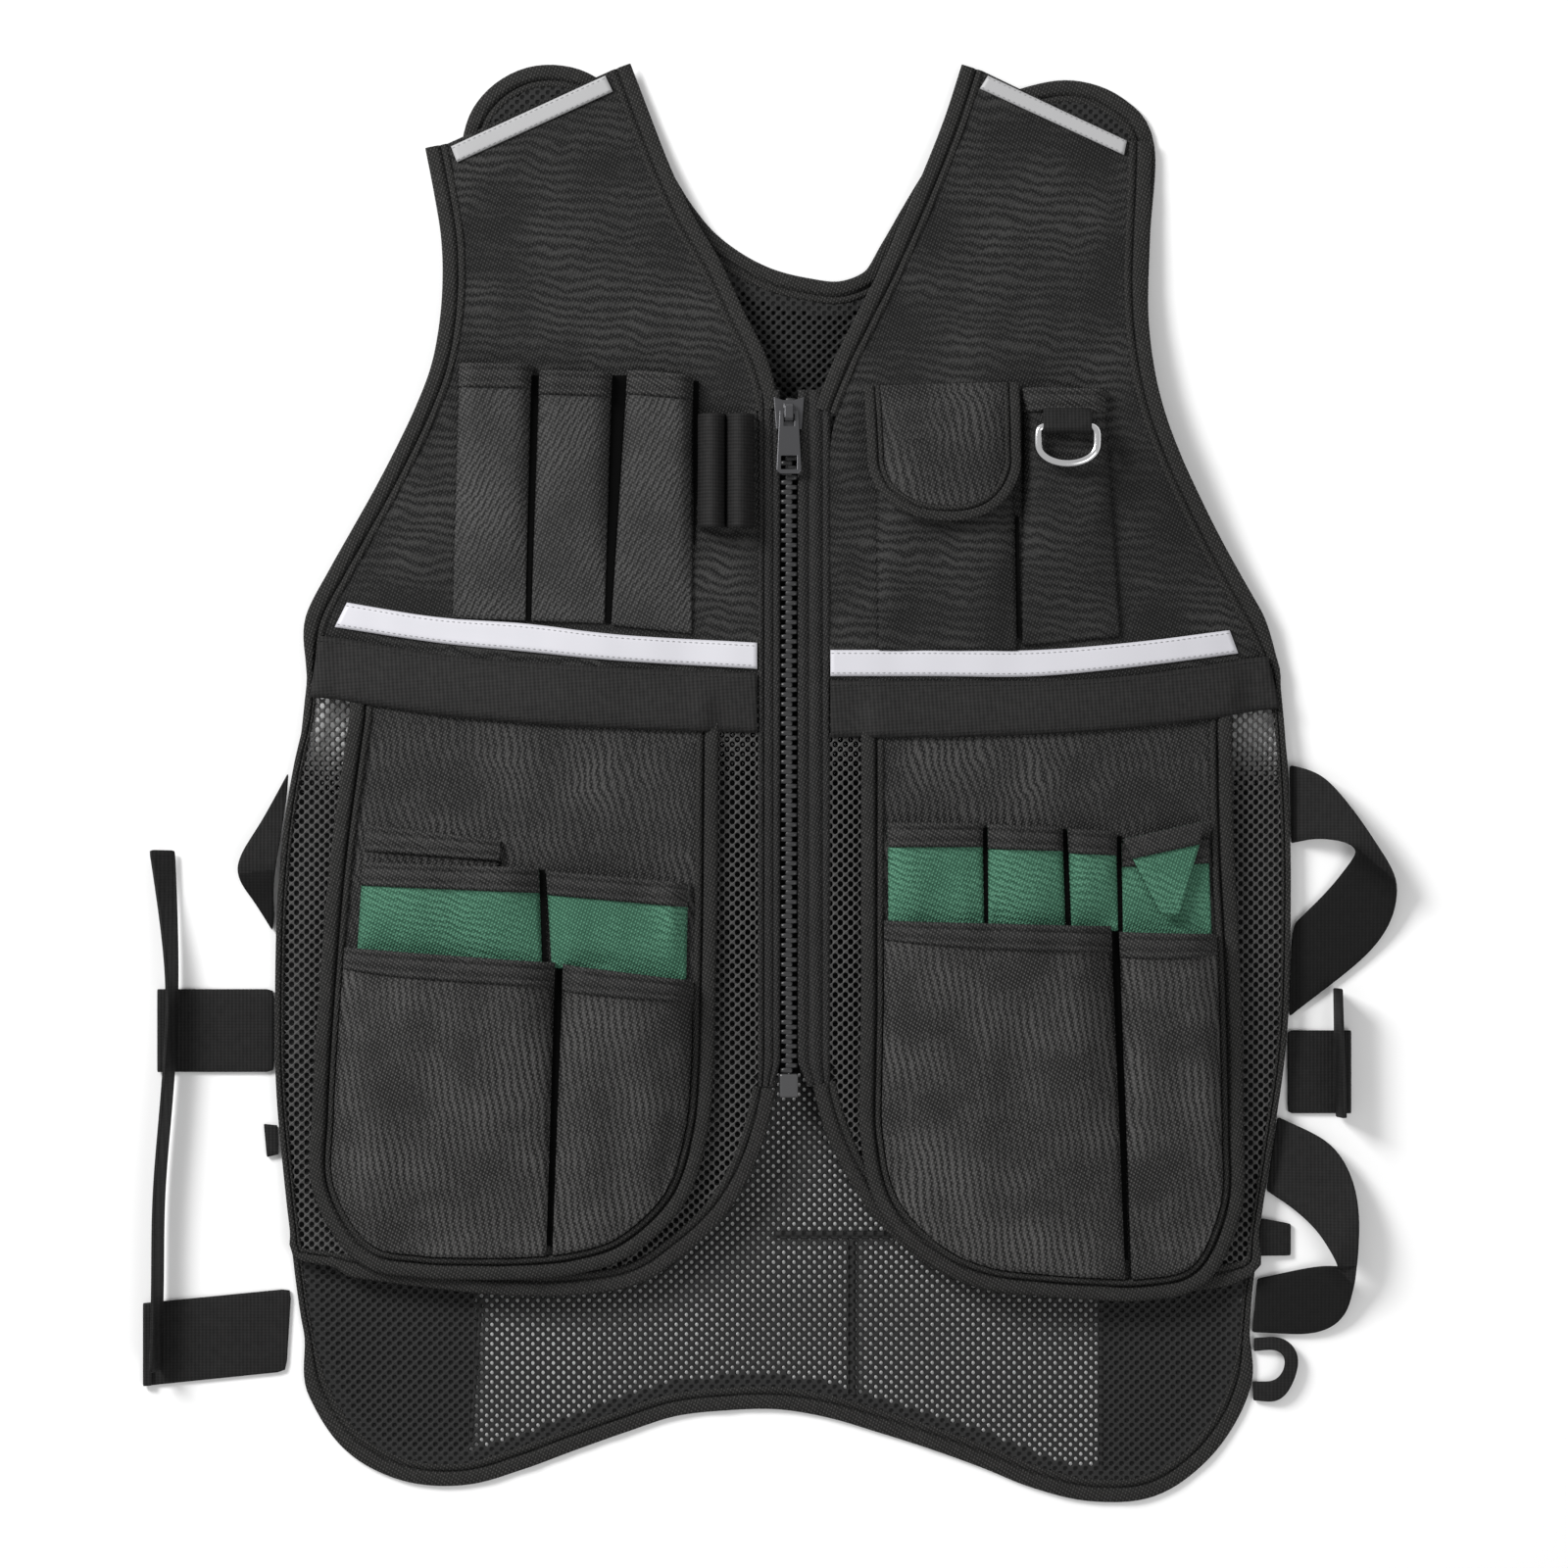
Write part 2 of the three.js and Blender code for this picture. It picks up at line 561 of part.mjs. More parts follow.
// Pockets: a wall sewn down at its sides and foot, standing off at the open mouth, with a thicker hem
const POCKET_COLUMNS = 5;
const POCKET_ROWS = 5;
const pockets = [
  { name: 'pen_pocket_1', lift: ON_CLOTH, depth: PEN_POCKET_DEPTH, material: TWILL,
    foot: [[-0.656, 0.613], [-0.514, 0.611]], mouth: [[-0.644, 0.785], [-0.502, 0.784]] },
  { name: 'pen_pocket_2', lift: ON_CLOTH, depth: PEN_POCKET_DEPTH, material: TWILL,
    foot: [[-0.502, 0.611], [-0.36, 0.609]], mouth: [[-0.487, 0.78], [-0.345, 0.778]] },
  { name: 'pen_pocket_3', lift: ON_CLOTH, depth: PEN_POCKET_DEPTH, material: TWILL,
    foot: [[-0.346, 0.608], [-0.19, 0.602]], mouth: [[-0.315, 0.78], [-0.187, 0.776]] },
  { name: 'phone_pocket', lift: ON_CLOTH, depth: PHONE_POCKET_DEPTH, material: TWILL,
    foot: [[0.175, 0.594], [0.444, 0.594]], mouth: [[0.169, 0.747], [0.437, 0.747]] },
  { name: 'pencil_pocket', lift: ON_CLOTH, depth: PENCIL_POCKET_DEPTH, material: TWILL,
    foot: [[0.456, 0.596], [0.646, 0.602]], mouth: [[0.456, 0.768], [0.617, 0.767]] },
  { name: 'spare_pocket_left', lift: FIRST_POCKET_LIFT, depth: SPARE_POCKET_DEPTH, material: TWILL,
    foot: [[-0.83, 0.449], [-0.567, 0.445]], mouth: [[-0.827, 0.468], [-0.567, 0.455]] },
  { name: 'green_pocket_left_1', lift: FIRST_POCKET_LIFT, depth: GREEN_POCKET_DEPTH, material: GREEN,
    foot: [[-0.845, 0.372], [-0.48, 0.363]], mouth: [[-0.832, 0.442], [-0.487, 0.438]] },
  { name: 'green_pocket_left_2', lift: FIRST_POCKET_LIFT, depth: GREEN_POCKET_DEPTH, material: GREEN,
    foot: [[-0.462, 0.37], [-0.2, 0.36]], mouth: [[-0.473, 0.436], [-0.196, 0.428]] },
  { name: 'cargo_pocket_left_1', lift: SECOND_POCKET_LIFT, depth: CARGO_POCKET_DEPTH, material: TWILL,
    foot: [[-0.852, 0.208], [-0.474, 0.179]], mouth: [[-0.856, 0.382], [-0.462, 0.373]] },
  { name: 'cargo_pocket_left_2', lift: SECOND_POCKET_LIFT, depth: CARGO_POCKET_DEPTH, material: TWILL,
    foot: [[-0.46, 0.179], [-0.262, 0.213]], mouth: [[-0.433, 0.372], [-0.2, 0.36]] },
  { name: 'green_pocket_right_1', lift: FIRST_POCKET_LIFT, depth: GREEN_POCKET_DEPTH, material: GREEN,
    foot: [[0.194, 0.385], [0.381, 0.385]], mouth: [[0.192, 0.469], [0.377, 0.469]] },
  { name: 'green_pocket_right_2', lift: FIRST_POCKET_LIFT, depth: GREEN_POCKET_DEPTH, material: GREEN,
    foot: [[0.389, 0.385], [0.54, 0.385]], mouth: [[0.387, 0.468], [0.533, 0.466]] },
  { name: 'green_pocket_right_3', lift: FIRST_POCKET_LIFT, depth: GREEN_POCKET_DEPTH, material: GREEN,
    foot: [[0.551, 0.395], [0.642, 0.395]], mouth: [[0.542, 0.465], [0.638, 0.463]] },
  { name: 'green_pocket_right_4', lift: FIRST_POCKET_LIFT, depth: SPARE_POCKET_DEPTH, material: GREEN,
    foot: [[0.652, 0.385], [0.826, 0.385]], mouth: [[0.648, 0.455], [0.819, 0.458]] },
  { name: 'cargo_pocket_right_1', lift: SECOND_POCKET_LIFT, depth: CARGO_POCKET_DEPTH, material: TWILL,
    foot: [[0.214, 0.228], [0.652, 0.166]], mouth: [[0.19, 0.4], [0.621, 0.398]] },
  { name: 'cargo_pocket_right_2', lift: SECOND_POCKET_LIFT, depth: CARGO_POCKET_DEPTH, material: TWILL,
    foot: [[0.667, 0.165], [0.832, 0.2]], mouth: [[0.65, 0.394], [0.826, 0.392]] },
];

// Share of a pocket's depth: nothing along its sides and foot, most at the middle of its mouth
const POCKET_FOOT_SHARE = 0.25;
function pocketBulge(u, v) {
  return (1 - (2 * u - 1) ** 4) * smooth(0.15 + 0.95 * v) * smooth(v / POCKET_FOOT_SHARE);
}

for (const pocket of pockets) {
  const patch = between(
    pocket.foot.map(([across, up]) => spot(across, up)),
    pocket.mouth.map(([across, up]) => spot(across, up)),
  );
  const tall = patch.top[0].y - patch.bottom[0].y;
  const hemShare = HEM_DEPTH / tall;
  cloth({
    name: pocket.name, patch, columns: POCKET_COLUMNS, rows: POCKET_ROWS, material: pocket.material,
    lift: (u, v) => pocket.lift + pocket.depth * pocketBulge(u, v),
    thickness: (u, v) => TWILL_THICKNESS + (v > 1 - hemShare ? HEM_EXTRA : 0),
  });
}

// The corner of the fourth green pocket, folded down over it
const FOLDED_LIFT = FIRST_POCKET_LIFT + SPARE_POCKET_DEPTH + TWILL_THICKNESS + HEM_EXTRA + CLEARANCE;
const foldedCorner = between(
  spots(['across', 'up'], [[0.728, 0.405], [0.758, 0.405]]),
  spots(['across', 'up'], [[0.65, 0.458], [0.815, 0.471]]),
);
const foldedTall = foldedCorner.top[0].y - foldedCorner.bottom[0].y;
cloth({
  name: 'folded_green_corner', patch: foldedCorner, columns: 4, rows: 5, material: GREEN,
  lift: even(FOLDED_LIFT),
  thickness: (u, v) => TWILL_THICKNESS + (v > 1 - HEM_DEPTH / foldedTall ? HEM_EXTRA : 0),
});

// Flap over the phone pocket: it rises over the mouth and hangs in front of it
const FLAP_COLUMNS = 8;
const FLAP_ROWS = 6;
const FLAP_BINDING_WIDTH = 7;
const FLAP_RISE_SHARE = 0.22;
const flapPatch = {
  bottom: spots(['across', 'up'], [
    [0.185, 0.715], [0.205, 0.7], [0.25, 0.69], [0.308, 0.687], [0.366, 0.69], [0.402, 0.7], [0.42, 0.714],
  ]),
  top: spots(['across', 'up'], [[0.178, 0.77], [0.418, 0.772]]),
  left: spots(['across', 'up'], [[0.185, 0.715], [0.178, 0.77]]),
  right: spots(['across', 'up'], [[0.42, 0.714], [0.418, 0.772]]),
};

function flapRise(u, v) {
  return ON_CLOTH + FLAP_RISE * smooth((1 - v) / FLAP_RISE_SHARE) * (0.6 + 0.4 * (1 - (2 * u - 1) ** 4));
}

const flapGrid = cloth({
  name: 'phone_pocket_flap', patch: flapPatch, columns: FLAP_COLUMNS, rows: FLAP_ROWS, material: TWILL,
  lift: flapRise, thickness: even(TWILL_THICKNESS),
});
const flapEdge = [
  ...flapGrid.map((line, j) => ({ point: line[0], u: 0, v: j / FLAP_ROWS })).reverse(),
  ...flapGrid[0].slice(1, -1).map((point, i) => ({ point, u: (i + 1) / FLAP_COLUMNS, v: 0 })),
  ...flapGrid.map((line, j) => ({ point: line[FLAP_COLUMNS], u: 1, v: j / FLAP_ROWS })),
];
const flapHeights = new Map(flapEdge.map((at) => [`${at.point.x},${at.point.y}`, flapRise(at.u, at.v)]));
edgeTape({
  name: 'flap_binding', path: flapEdge.map(({ point }) => point), widths: flapEdge.map(() => FLAP_BINDING_WIDTH),
  side: -1, ground: (x, y) => underside(x, y) + flapHeights.get(`${x},${y}`),
  lift: -CLEARANCE, height: BINDING_HEIGHT, material: BINDING,
});

// Two elastic pen loops side by side, one band sewn down at three places
const LOOP_COUNT = 2;
const LOOP_STEPS = 16;
const loopSide = { left: -0.176, right: -0.07, bottom: 0.672, top: 0.75 };
const loopWave = [];
for (let i = 0; i <= LOOP_STEPS; i++) {
  const share = i / LOOP_STEPS;
  const across = loopSide.left + (loopSide.right - loopSide.left) * share;
  const rise = LOOP_HEIGHT * Math.abs(Math.sin(share * Math.PI * LOOP_COUNT)) ** 0.6;
  loopWave.push({ across, rise });
}

function loopEdge(up) {
  return loopWave.map(({ across, rise }) => {
    const point = spot(across, up);
    point.z = underside(point.x, point.y) + ON_CLOTH + TWILL_THICKNESS / 2 + CLEARANCE / 2 + rise;
    return point;
  });
}

ribbon({
  name: 'elastic_loops', edgeA: loopEdge(loopSide.bottom), edgeB: loopEdge(loopSide.top),
  steps: 24, thickness: TWILL_THICKNESS, material: WEBBING,
});

// Zip: a tape on each front, a comb of teeth on each tape, a box at the foot
const zipTop = spot(0, ZIP_TOP_UP).y;
const zipEnd = spot(0, ZIP_END_UP).y;
const zipTapes = [
  { side: 'left', near: -CHAIN_HALF_WIDTH - CLEARANCE, far: spot(-0.06, 0).x + 2 * CLEARANCE },
  { side: 'right', near: CHAIN_HALF_WIDTH + CLEARANCE, far: spot(0.079, 0).x - 2 * CLEARANCE },
];
for (const tape of zipTapes) {
  const [from, to] = tape.near < tape.far ? [tape.near, tape.far] : [tape.far, tape.near];
  cloth({
    name: `zip_tape_${tape.side}`,
    patch: between(
      [new THREE.Vector3(from, zipEnd, 0), new THREE.Vector3(to, zipEnd, 0)],
      [new THREE.Vector3(from, zipTop, 0), new THREE.Vector3(to, zipTop, 0)],
    ),
    columns: 1, rows: 12, lift: even(0), thickness: even(TWILL_THICKNESS), material: TWILL,
  });
}

// Each comb's teeth reach past the middle between the other comb's teeth.
function zipComb(side) {
  const teeth = Math.floor((zipTop - zipEnd) / TOOTH_PITCH) - 1;
  const toothLength = TOOTH_PITCH / 2 - TOOTH_SIDE_GAP;
  const spineX = TOOTH_REACH + CLEARANCE;
  const firstTooth = zipEnd + (side > 0 ? TOOTH_PITCH / 2 : 0) + CLEARANCE;
  const outline = new THREE.Shape();
  outline.moveTo(side * CHAIN_HALF_WIDTH, zipEnd);
  outline.lineTo(side * CHAIN_HALF_WIDTH, zipTop);
  outline.lineTo(side * spineX, zipTop);
  for (let k = teeth - 1; k >= 0; k--) {
    const start = firstTooth + k * TOOTH_PITCH;
    outline.lineTo(side * spineX, start + toothLength);
    outline.lineTo(-side * TOOTH_REACH, start + toothLength);
    outline.lineTo(-side * TOOTH_REACH, start);
    outline.lineTo(side * spineX, start);
  }
  outline.lineTo(side * spineX, zipEnd);
  const geometry = new THREE.ExtrudeGeometry(outline, { depth: TOOTH_HEIGHT, bevelEnabled: false });
  const position = geometry.getAttribute('position');
  for (let i = 0; i < position.count; i++) {
    position.setZ(i, position.getZ(i) + underside(0, position.getY(i)) - CHAIN_DROP);
  }
  return geometry;
}

place('zip_teeth_left', zipComb(-1), ZIP_PLASTIC);
place('zip_teeth_right', zipComb(1), ZIP_PLASTIC);

const zipBox = new THREE.BoxGeometry(ZIP_BOX_WIDTH, ZIP_BOX_LENGTH, ZIP_BOX_HEIGHT);
const zipBoxMesh = place('zip_box', zipBox, ZIP_PLASTIC);
const zipBoxY = zipEnd - CLEARANCE - ZIP_BOX_LENGTH / 2;
zipBoxMesh.position.set(0, zipBoxY, underside(0, zipBoxY) - CHAIN_DROP + ZIP_BOX_HEIGHT / 2);

// Solids joined into one
function joined(...geometries) {
  const parts = geometries.map((geometry) => {
    const bare = geometry.clone();
    bare.deleteAttribute('normal');
    bare.deleteAttribute('uv');
    const merged = mergeVertices(bare, 1e-4);
    return new wasm.Manifold(new wasm.Mesh({
      numProp: 3,
      vertProperties: new Float32Array(merged.getAttribute('position').array),
      triVerts: new Uint32Array(merged.getIndex().array),
    }));
  });
  const whole = parts.reduce((sum, part) => sum.add(part)).getMesh();
  const geometry = new THREE.BufferGeometry();
  geometry.setAttribute('position', new THREE.Float32BufferAttribute(whole.vertProperties, 3));
  geometry.setIndex(new THREE.Uint32BufferAttribute(whole.triVerts, 1));
  geometry.computeVertexNormals();
  return geometry;
}

// A group that follows the slope of the front where it stands
function slopedGroup(x, y, height) {
  const group = new THREE.Group();
  const rise = underside(x, y + SLIDER_LENGTH / 2) - underside(x, y - SLIDER_LENGTH / 2);
  group.rotation.x = Math.atan2(rise, SLIDER_LENGTH);
  group.position.set(x, y, underside(x, y) + height);
  vest.add(group);
  return group;
}

// A profile drawn along Y and Z, run across in X about the middle
function runAcross(profile, width) {
  const run = { depth: width, bevelEnabled: false, curveSegments: 6 };
  const geometry = new THREE.ExtrudeGeometry(profile, run);
  geometry.translate(0, 0, -width / 2);
  const alongY = new THREE.Vector3(0, 1, 0);
  const alongZ = new THREE.Vector3(0, 0, 1);
  const alongX = new THREE.Vector3(1, 0, 0);
  geometry.applyMatrix4(new THREE.Matrix4().makeBasis(alongY, alongZ, alongX));
  return geometry;
}

// Slider on the chain's top end, with a bridge that holds the pull
const sliderGroup = slopedGroup(0, zipTop - SLIDER_LENGTH / 2, TOOTH_HEIGHT - CHAIN_DROP + CLEARANCE);
const plate = new THREE.Shape();
plate.moveTo(-SLIDER_WIDTH / 2, SLIDER_LENGTH / 2);
plate.lineTo(-SLIDER_WIDTH * 0.42, -SLIDER_LENGTH / 2);
plate.lineTo(SLIDER_WIDTH * 0.42, -SLIDER_LENGTH / 2);
plate.lineTo(SLIDER_WIDTH / 2, SLIDER_LENGTH / 2);
plate.lineTo(SLIDER_WIDTH * 0.2, SLIDER_LENGTH * 0.4);
plate.lineTo(-SLIDER_WIDTH * 0.2, SLIDER_LENGTH * 0.4);
const plateGeometry = new THREE.ExtrudeGeometry(plate, { depth: SLIDER_PLATE, bevelEnabled: false });
const bridgeReach = BRIDGE_HOLE_LENGTH / 2 + BRIDGE_WALL;
const bridgeTop = SLIDER_PLATE + BRIDGE_HOLE_HEIGHT + BRIDGE_WALL;
const bridge = new THREE.Shape();
bridge.moveTo(-bridgeReach, SLIDER_PLATE / 2);
bridge.lineTo(bridgeReach, SLIDER_PLATE / 2);
bridge.lineTo(bridgeReach, bridgeTop - BRIDGE_WALL);
bridge.lineTo(bridgeReach - BRIDGE_WALL, bridgeTop);
bridge.lineTo(-bridgeReach + BRIDGE_WALL, bridgeTop);
bridge.lineTo(-bridgeReach, bridgeTop - BRIDGE_WALL);
const bridgeHole = new THREE.Path();
bridgeHole.moveTo(-BRIDGE_HOLE_LENGTH / 2, SLIDER_PLATE);
bridgeHole.lineTo(BRIDGE_HOLE_LENGTH / 2, SLIDER_PLATE);
bridgeHole.lineTo(BRIDGE_HOLE_LENGTH / 2, SLIDER_PLATE + BRIDGE_HOLE_HEIGHT);
bridgeHole.lineTo(-BRIDGE_HOLE_LENGTH / 2, SLIDER_PLATE + BRIDGE_HOLE_HEIGHT);
bridge.holes.push(bridgeHole);
const slider = place('zip_slider', joined(plateGeometry, runAcross(bridge, BRIDGE_WIDTH)), GUNMETAL);
sliderGroup.add(slider);

// Pull: a bar through the bridge, a window that clears it, and a grip with a hole
const pullHalf = PULL_THICKNESS / 2;
const windowHalf = BRIDGE_WIDTH / 2 + CLEARANCE;
const pullOutline = new THREE.Shape();
pullOutline.moveTo(-PULL_TOP_WIDTH / 2, pullHalf);
pullOutline.lineTo(-PULL_TIP_WIDTH / 2, pullHalf - PULL_LENGTH + PULL_THICKNESS);
pullOutline.lineTo(-PULL_TIP_WIDTH * 0.36, pullHalf - PULL_LENGTH);
pullOutline.lineTo(PULL_TIP_WIDTH * 0.36, pullHalf - PULL_LENGTH);
pullOutline.lineTo(PULL_TIP_WIDTH / 2, pullHalf - PULL_LENGTH + PULL_THICKNESS);
pullOutline.lineTo(PULL_TOP_WIDTH / 2, pullHalf);

function windowPath(halfWidth, top, length) {
  const path = new THREE.Path();
  path.moveTo(-halfWidth, top);
  path.lineTo(halfWidth, top);
  path.lineTo(halfWidth, top - length);
  path.lineTo(-halfWidth, top - length);
  return path;
}

pullOutline.holes.push(windowPath(windowHalf, -pullHalf, PULL_WINDOW_LENGTH));
const pullHoleTop = pullHalf - PULL_LENGTH + PULL_HOLE_LENGTH + (PULL_TIP_WIDTH - PULL_HOLE_WIDTH) / 2;
pullOutline.holes.push(windowPath(PULL_HOLE_WIDTH / 2, pullHoleTop, PULL_HOLE_LENGTH));
const pullGeometry = new THREE.ExtrudeGeometry(pullOutline, { depth: PULL_THICKNESS, bevelEnabled: false });
pullGeometry.translate(0, 0, SLIDER_PLATE + BRIDGE_HOLE_HEIGHT / 2 - pullHalf);
sliderGroup.add(place('zip_pull', pullGeometry, GUNMETAL));

// D-ring in its folded tab, on the pencil pocket below its hem
const ringSpot = spot(0.5415, 0.7408);
const TAB_INNER = RING_WIRE / 2 + CLEARANCE;
const TAB_OUTER = TAB_INNER + TWILL_THICKNESS;
const pencilFront = ON_CLOTH + PENCIL_POCKET_DEPTH + TWILL_THICKNESS;
const ringGroup = slopedGroup(ringSpot.x, ringSpot.y, pencilFront + HEM_EXTRA + TAB_OUTER);
const tab = new THREE.Shape();
tab.moveTo(TAB_LENGTH - TAB_OUTER, -TAB_OUTER);
tab.lineTo(TAB_LENGTH - TAB_OUTER, -TAB_OUTER + TWILL_THICKNESS * 2);
tab.lineTo(0, TAB_OUTER);
tab.absarc(0, 0, TAB_OUTER, Math.PI / 2, Math.PI * 1.5, false);
const tabHole = new THREE.Path();
tabHole.absarc(0, 0, TAB_INNER, 0, Math.PI * 2, true);
tab.holes.push(tabHole);
ringGroup.add(place('d_ring_tab', runAcross(tab, TAB_WIDTH), WEBBING));

function ringSolid() {
  const half = (RING_WIDTH - RING_WIRE) / 2;
  const long = RING_LENGTH - RING_WIRE;
  const path = new THREE.Path();
  path.moveTo(-half + RING_CORNER, 0);
  path.lineTo(half - RING_CORNER, 0);
  path.absarc(half - RING_CORNER, -RING_CORNER, RING_CORNER, Math.PI / 2, 0, true);
  path.lineTo(half, -long / 2);
  path.absellipse(0, -long / 2, half, long / 2, 0, -Math.PI, true);
  path.lineTo(-half, -RING_CORNER);
  path.absarc(-half + RING_CORNER, -RING_CORNER, RING_CORNER, Math.PI, Math.PI / 2, true);
  const steps = 30;
  const sides = 6;
  const centres = path.getSpacedPoints(steps).slice(0, steps);
  const sections = centres.map((centre, i) => {
    const before = centres[(i + steps - 1) % steps];
    const after = centres[(i + 1) % steps];
    const along = after.clone().sub(before).normalize();
    return Array.from({ length: sides }, (_, k) => {
      const turn = (k / sides) * Math.PI * 2;
      const out = (Math.cos(turn) * RING_WIRE) / 2;
      const rise = (Math.sin(turn) * RING_WIRE) / 2;
      return new THREE.Vector3(centre.x - along.y * out, centre.y + along.x * out, rise);
    });
  });
  return loftSolid(sections, true);
}

ringGroup.add(place('d_ring', ringSolid(), CHROME));

// Straps and tapes at the sides, each a row for every bend: its two edges and how high they stand
const STRAP_LIFT = WEBBING_THICKNESS / 2;
const FOLD_LIFT = WEBBING_THICKNESS * 1.5 + CLEARANCE;
const STRAP_COLUMNS = ['acrossA', 'upA', 'highA', 'acrossB', 'upB', 'highB'];
const straps = [
  { name: 'strap_upper_left', steps: 10, rows: [
    [-0.982, 0.503, 3, -0.984, 0.49, 3],
    [-1.03, 0.472, 6, -0.994, 0.462, 6],
    [-1.083, 0.436, 8, -1.005, 0.438, 8],
    [-1.05, 0.416, 4, -1.01, 0.42, 4],
    [-1.014, 0.395, 1.6, -1.009, 0.402, 1.6],
  ] },
  { name: 'strap_end_left', steps: 2, rows: [
    [-1.003, 0.26, 1.2, -1.001, 0.24, 1.2],
    [-1.03, 0.261, 1.2, -1.024, 0.238, 1.2],
  ] },
  { name: 'strap_upper_right', steps: 20, rows: [
    [0.982, 0.509, 2, 0.985, 0.455, 2],
    [1.038, 0.503, 8, 1.029, 0.458, 7],
    [1.096, 0.481, 13, 1.071, 0.457, 12],
    [1.154, 0.451, 16, 1.098, 0.454, 15],
    [1.185, 0.431, 14, 1.108, 0.451, 13],
    [1.19, 0.423, 9, 1.108, 0.447, 8],
    [1.183, 0.404, 5, 1.094, 0.439, 4],
    [1.144, 0.382, 2.4, 1.058, 0.423, 2.4],
    [0.981, 0.335, 1.2, 0.985, 0.397, 1.2],
  ] },
  { name: 'strap_lower_right', steps: 20, rows: [
    [0.958, 0.266, 1.4, 0.937, 0.215, 1.4],
    [1.062, 0.247, 7, 0.994, 0.201, 6],
    [1.1, 0.225, 11, 1.037, 0.186, 10],
    [1.113, 0.199, 15, 1.069, 0.167, 14],
    [1.11, 0.164, 13, 1.073, 0.164, 13],
    [1.1, 0.141, 7, 1.067, 0.163, 7],
    [1.087, 0.127, 4, 1.048, 0.163, 4],
    [1.04, 0.117, 2.4, 1.01, 0.161, 2.4],
    [0.908, 0.117, 1.2, 0.919, 0.154, 1.2],
  ] },
  { name: 'strap_curl_right', steps: 12, rows: [
    [0.912, 0.113, 1.2, 0.912, 0.104, 1.2],
    [0.966, 0.1135, 3, 0.958, 0.1045, 3],
    [0.996, 0.104, 4, 0.971, 0.1, 4],
    [0.994, 0.088, 4, 0.969, 0.091, 4],
    [0.962, 0.07, 3, 0.952, 0.084, 3],
    [0.911, 0.07, 1.2, 0.909, 0.083, 1.2],
  ] },
  { name: 'side_tape_left', steps: 12, rows: [
    [-1.205, 0.45, 2.2, -1.25, 0.4505, 10],
    [-1.2, 0.4, 2.2, -1.226, 0.4, 15],
    [-1.199, 0.356, 2.2, -1.213, 0.356, 17],
    [-1.206, 0.297, 2.2, -1.22, 0.297, 17],
    [-1.226, 0.211, 2.2, -1.24, 0.211, 17],
    [-1.228, 0.148, 2.2, -1.242, 0.148, 17],
    [-1.233, 0.091, 2.2, -1.246, 0.091, 17],
  ] },
  { name: 'side_tape_right', steps: 4, rows: [
    [1.07, 0.355, 2.2, 1.078, 0.355, 17],
    [1.072, 0.31, 2.2, 1.082, 0.31, 17],
    [1.075, 0.266, 2.2, 1.086, 0.266, 17],
  ] },
  { name: 'side_tape_right_lower', steps: 2, rows: [
    [0.984, 0.192, 1, 0.926, 0.196, 3],
    [0.984, 0.17, 1, 0.917, 0.17, 3],
  ] },
];

function strapEdges(rows) {
  const edge = (acrossName, upName, highName) => rows.map((row) => {
    const value = (name) => row[STRAP_COLUMNS.indexOf(name)];
    const point = spot(value(acrossName), value(upName));
    point.z = value(highName);
    return point;
  });
  return { edgeA: edge('acrossA', 'upA', 'highA'), edgeB: edge('acrossB', 'upB', 'highB') };
}

for (const strap of straps) {
  ribbon({
    name: strap.name, ...strapEdges(strap.rows), steps: strap.steps,
    thickness: WEBBING_THICKNESS, material: WEBBING,
  });
}

// Flat side straps whose outer end is folded back over itself around the side tape
const flatStraps = [
  { name: 'strap_middle_left', near: [-1.01, -1.01], far: -1.236, up: 0.3255, tilt: 0 },
  { name: 'strap_lower_left', near: [-0.976, -0.986], far: -1.264, up: 0.1185, tilt: 0.01 },
  { name: 'strap_middle_right', near: [0.978, 0.978], far: 1.1, up: 0.297, tilt: 0 },
];
const foldRadius = (FOLD_LIFT - STRAP_LIFT) / 2;
const FOLD_STEPS = 5;
const FOLD_BACK = 2.5;
for (const strap of flatStraps) {
  const outward = Math.sign(strap.far);
  const turnCentre = strap.far - (outward * foldRadius) / VEST_HALF_WIDTH;
  const turn = Array.from({ length: FOLD_STEPS + 1 }, (_, k) => {
    const angle = (k / FOLD_STEPS - 0.5) * Math.PI;
    const reach = (outward * foldRadius * Math.cos(angle)) / VEST_HALF_WIDTH;
    return [turnCentre + reach, STRAP_LIFT + foldRadius + foldRadius * Math.sin(angle)];
  });
  const stations = (near) => [
    [near, STRAP_LIFT], [(near + strap.far) / 2, STRAP_LIFT], ...turn,
    [turnCentre - (outward * FOLD_BACK) / VEST_HALF_WIDTH, FOLD_LIFT],
  ];
  const edge = (near, side) => stations(near).map(([across, high]) => {
    const reach = (across - near) / (strap.far - near);
    const point = spot(across, strap.up - strap.tilt * reach);
    point.y += (side * STRAP_WIDTH) / 2;
    point.z = high;
    return point;
  });
  ribbon({
    name: strap.name, edgeA: edge(strap.near[0], 1), edgeB: edge(strap.near[1], -1),
    thickness: WEBBING_THICKNESS, material: WEBBING,
  });
}

export default vest;
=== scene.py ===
"""Looks of the utility work vest: cloth, net, bindings, stitches, zip and metal around its solids.

Shapes are worked out in millimetres and become metres as meshes are made. +Z is up off the floor and
+Y points to the shoulders. Left and right are the picture's.
"""
import math

import bmesh
import bpy
import numpy as np
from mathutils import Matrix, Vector, noise
from mathutils.geometry import delaunay_2d_cdt


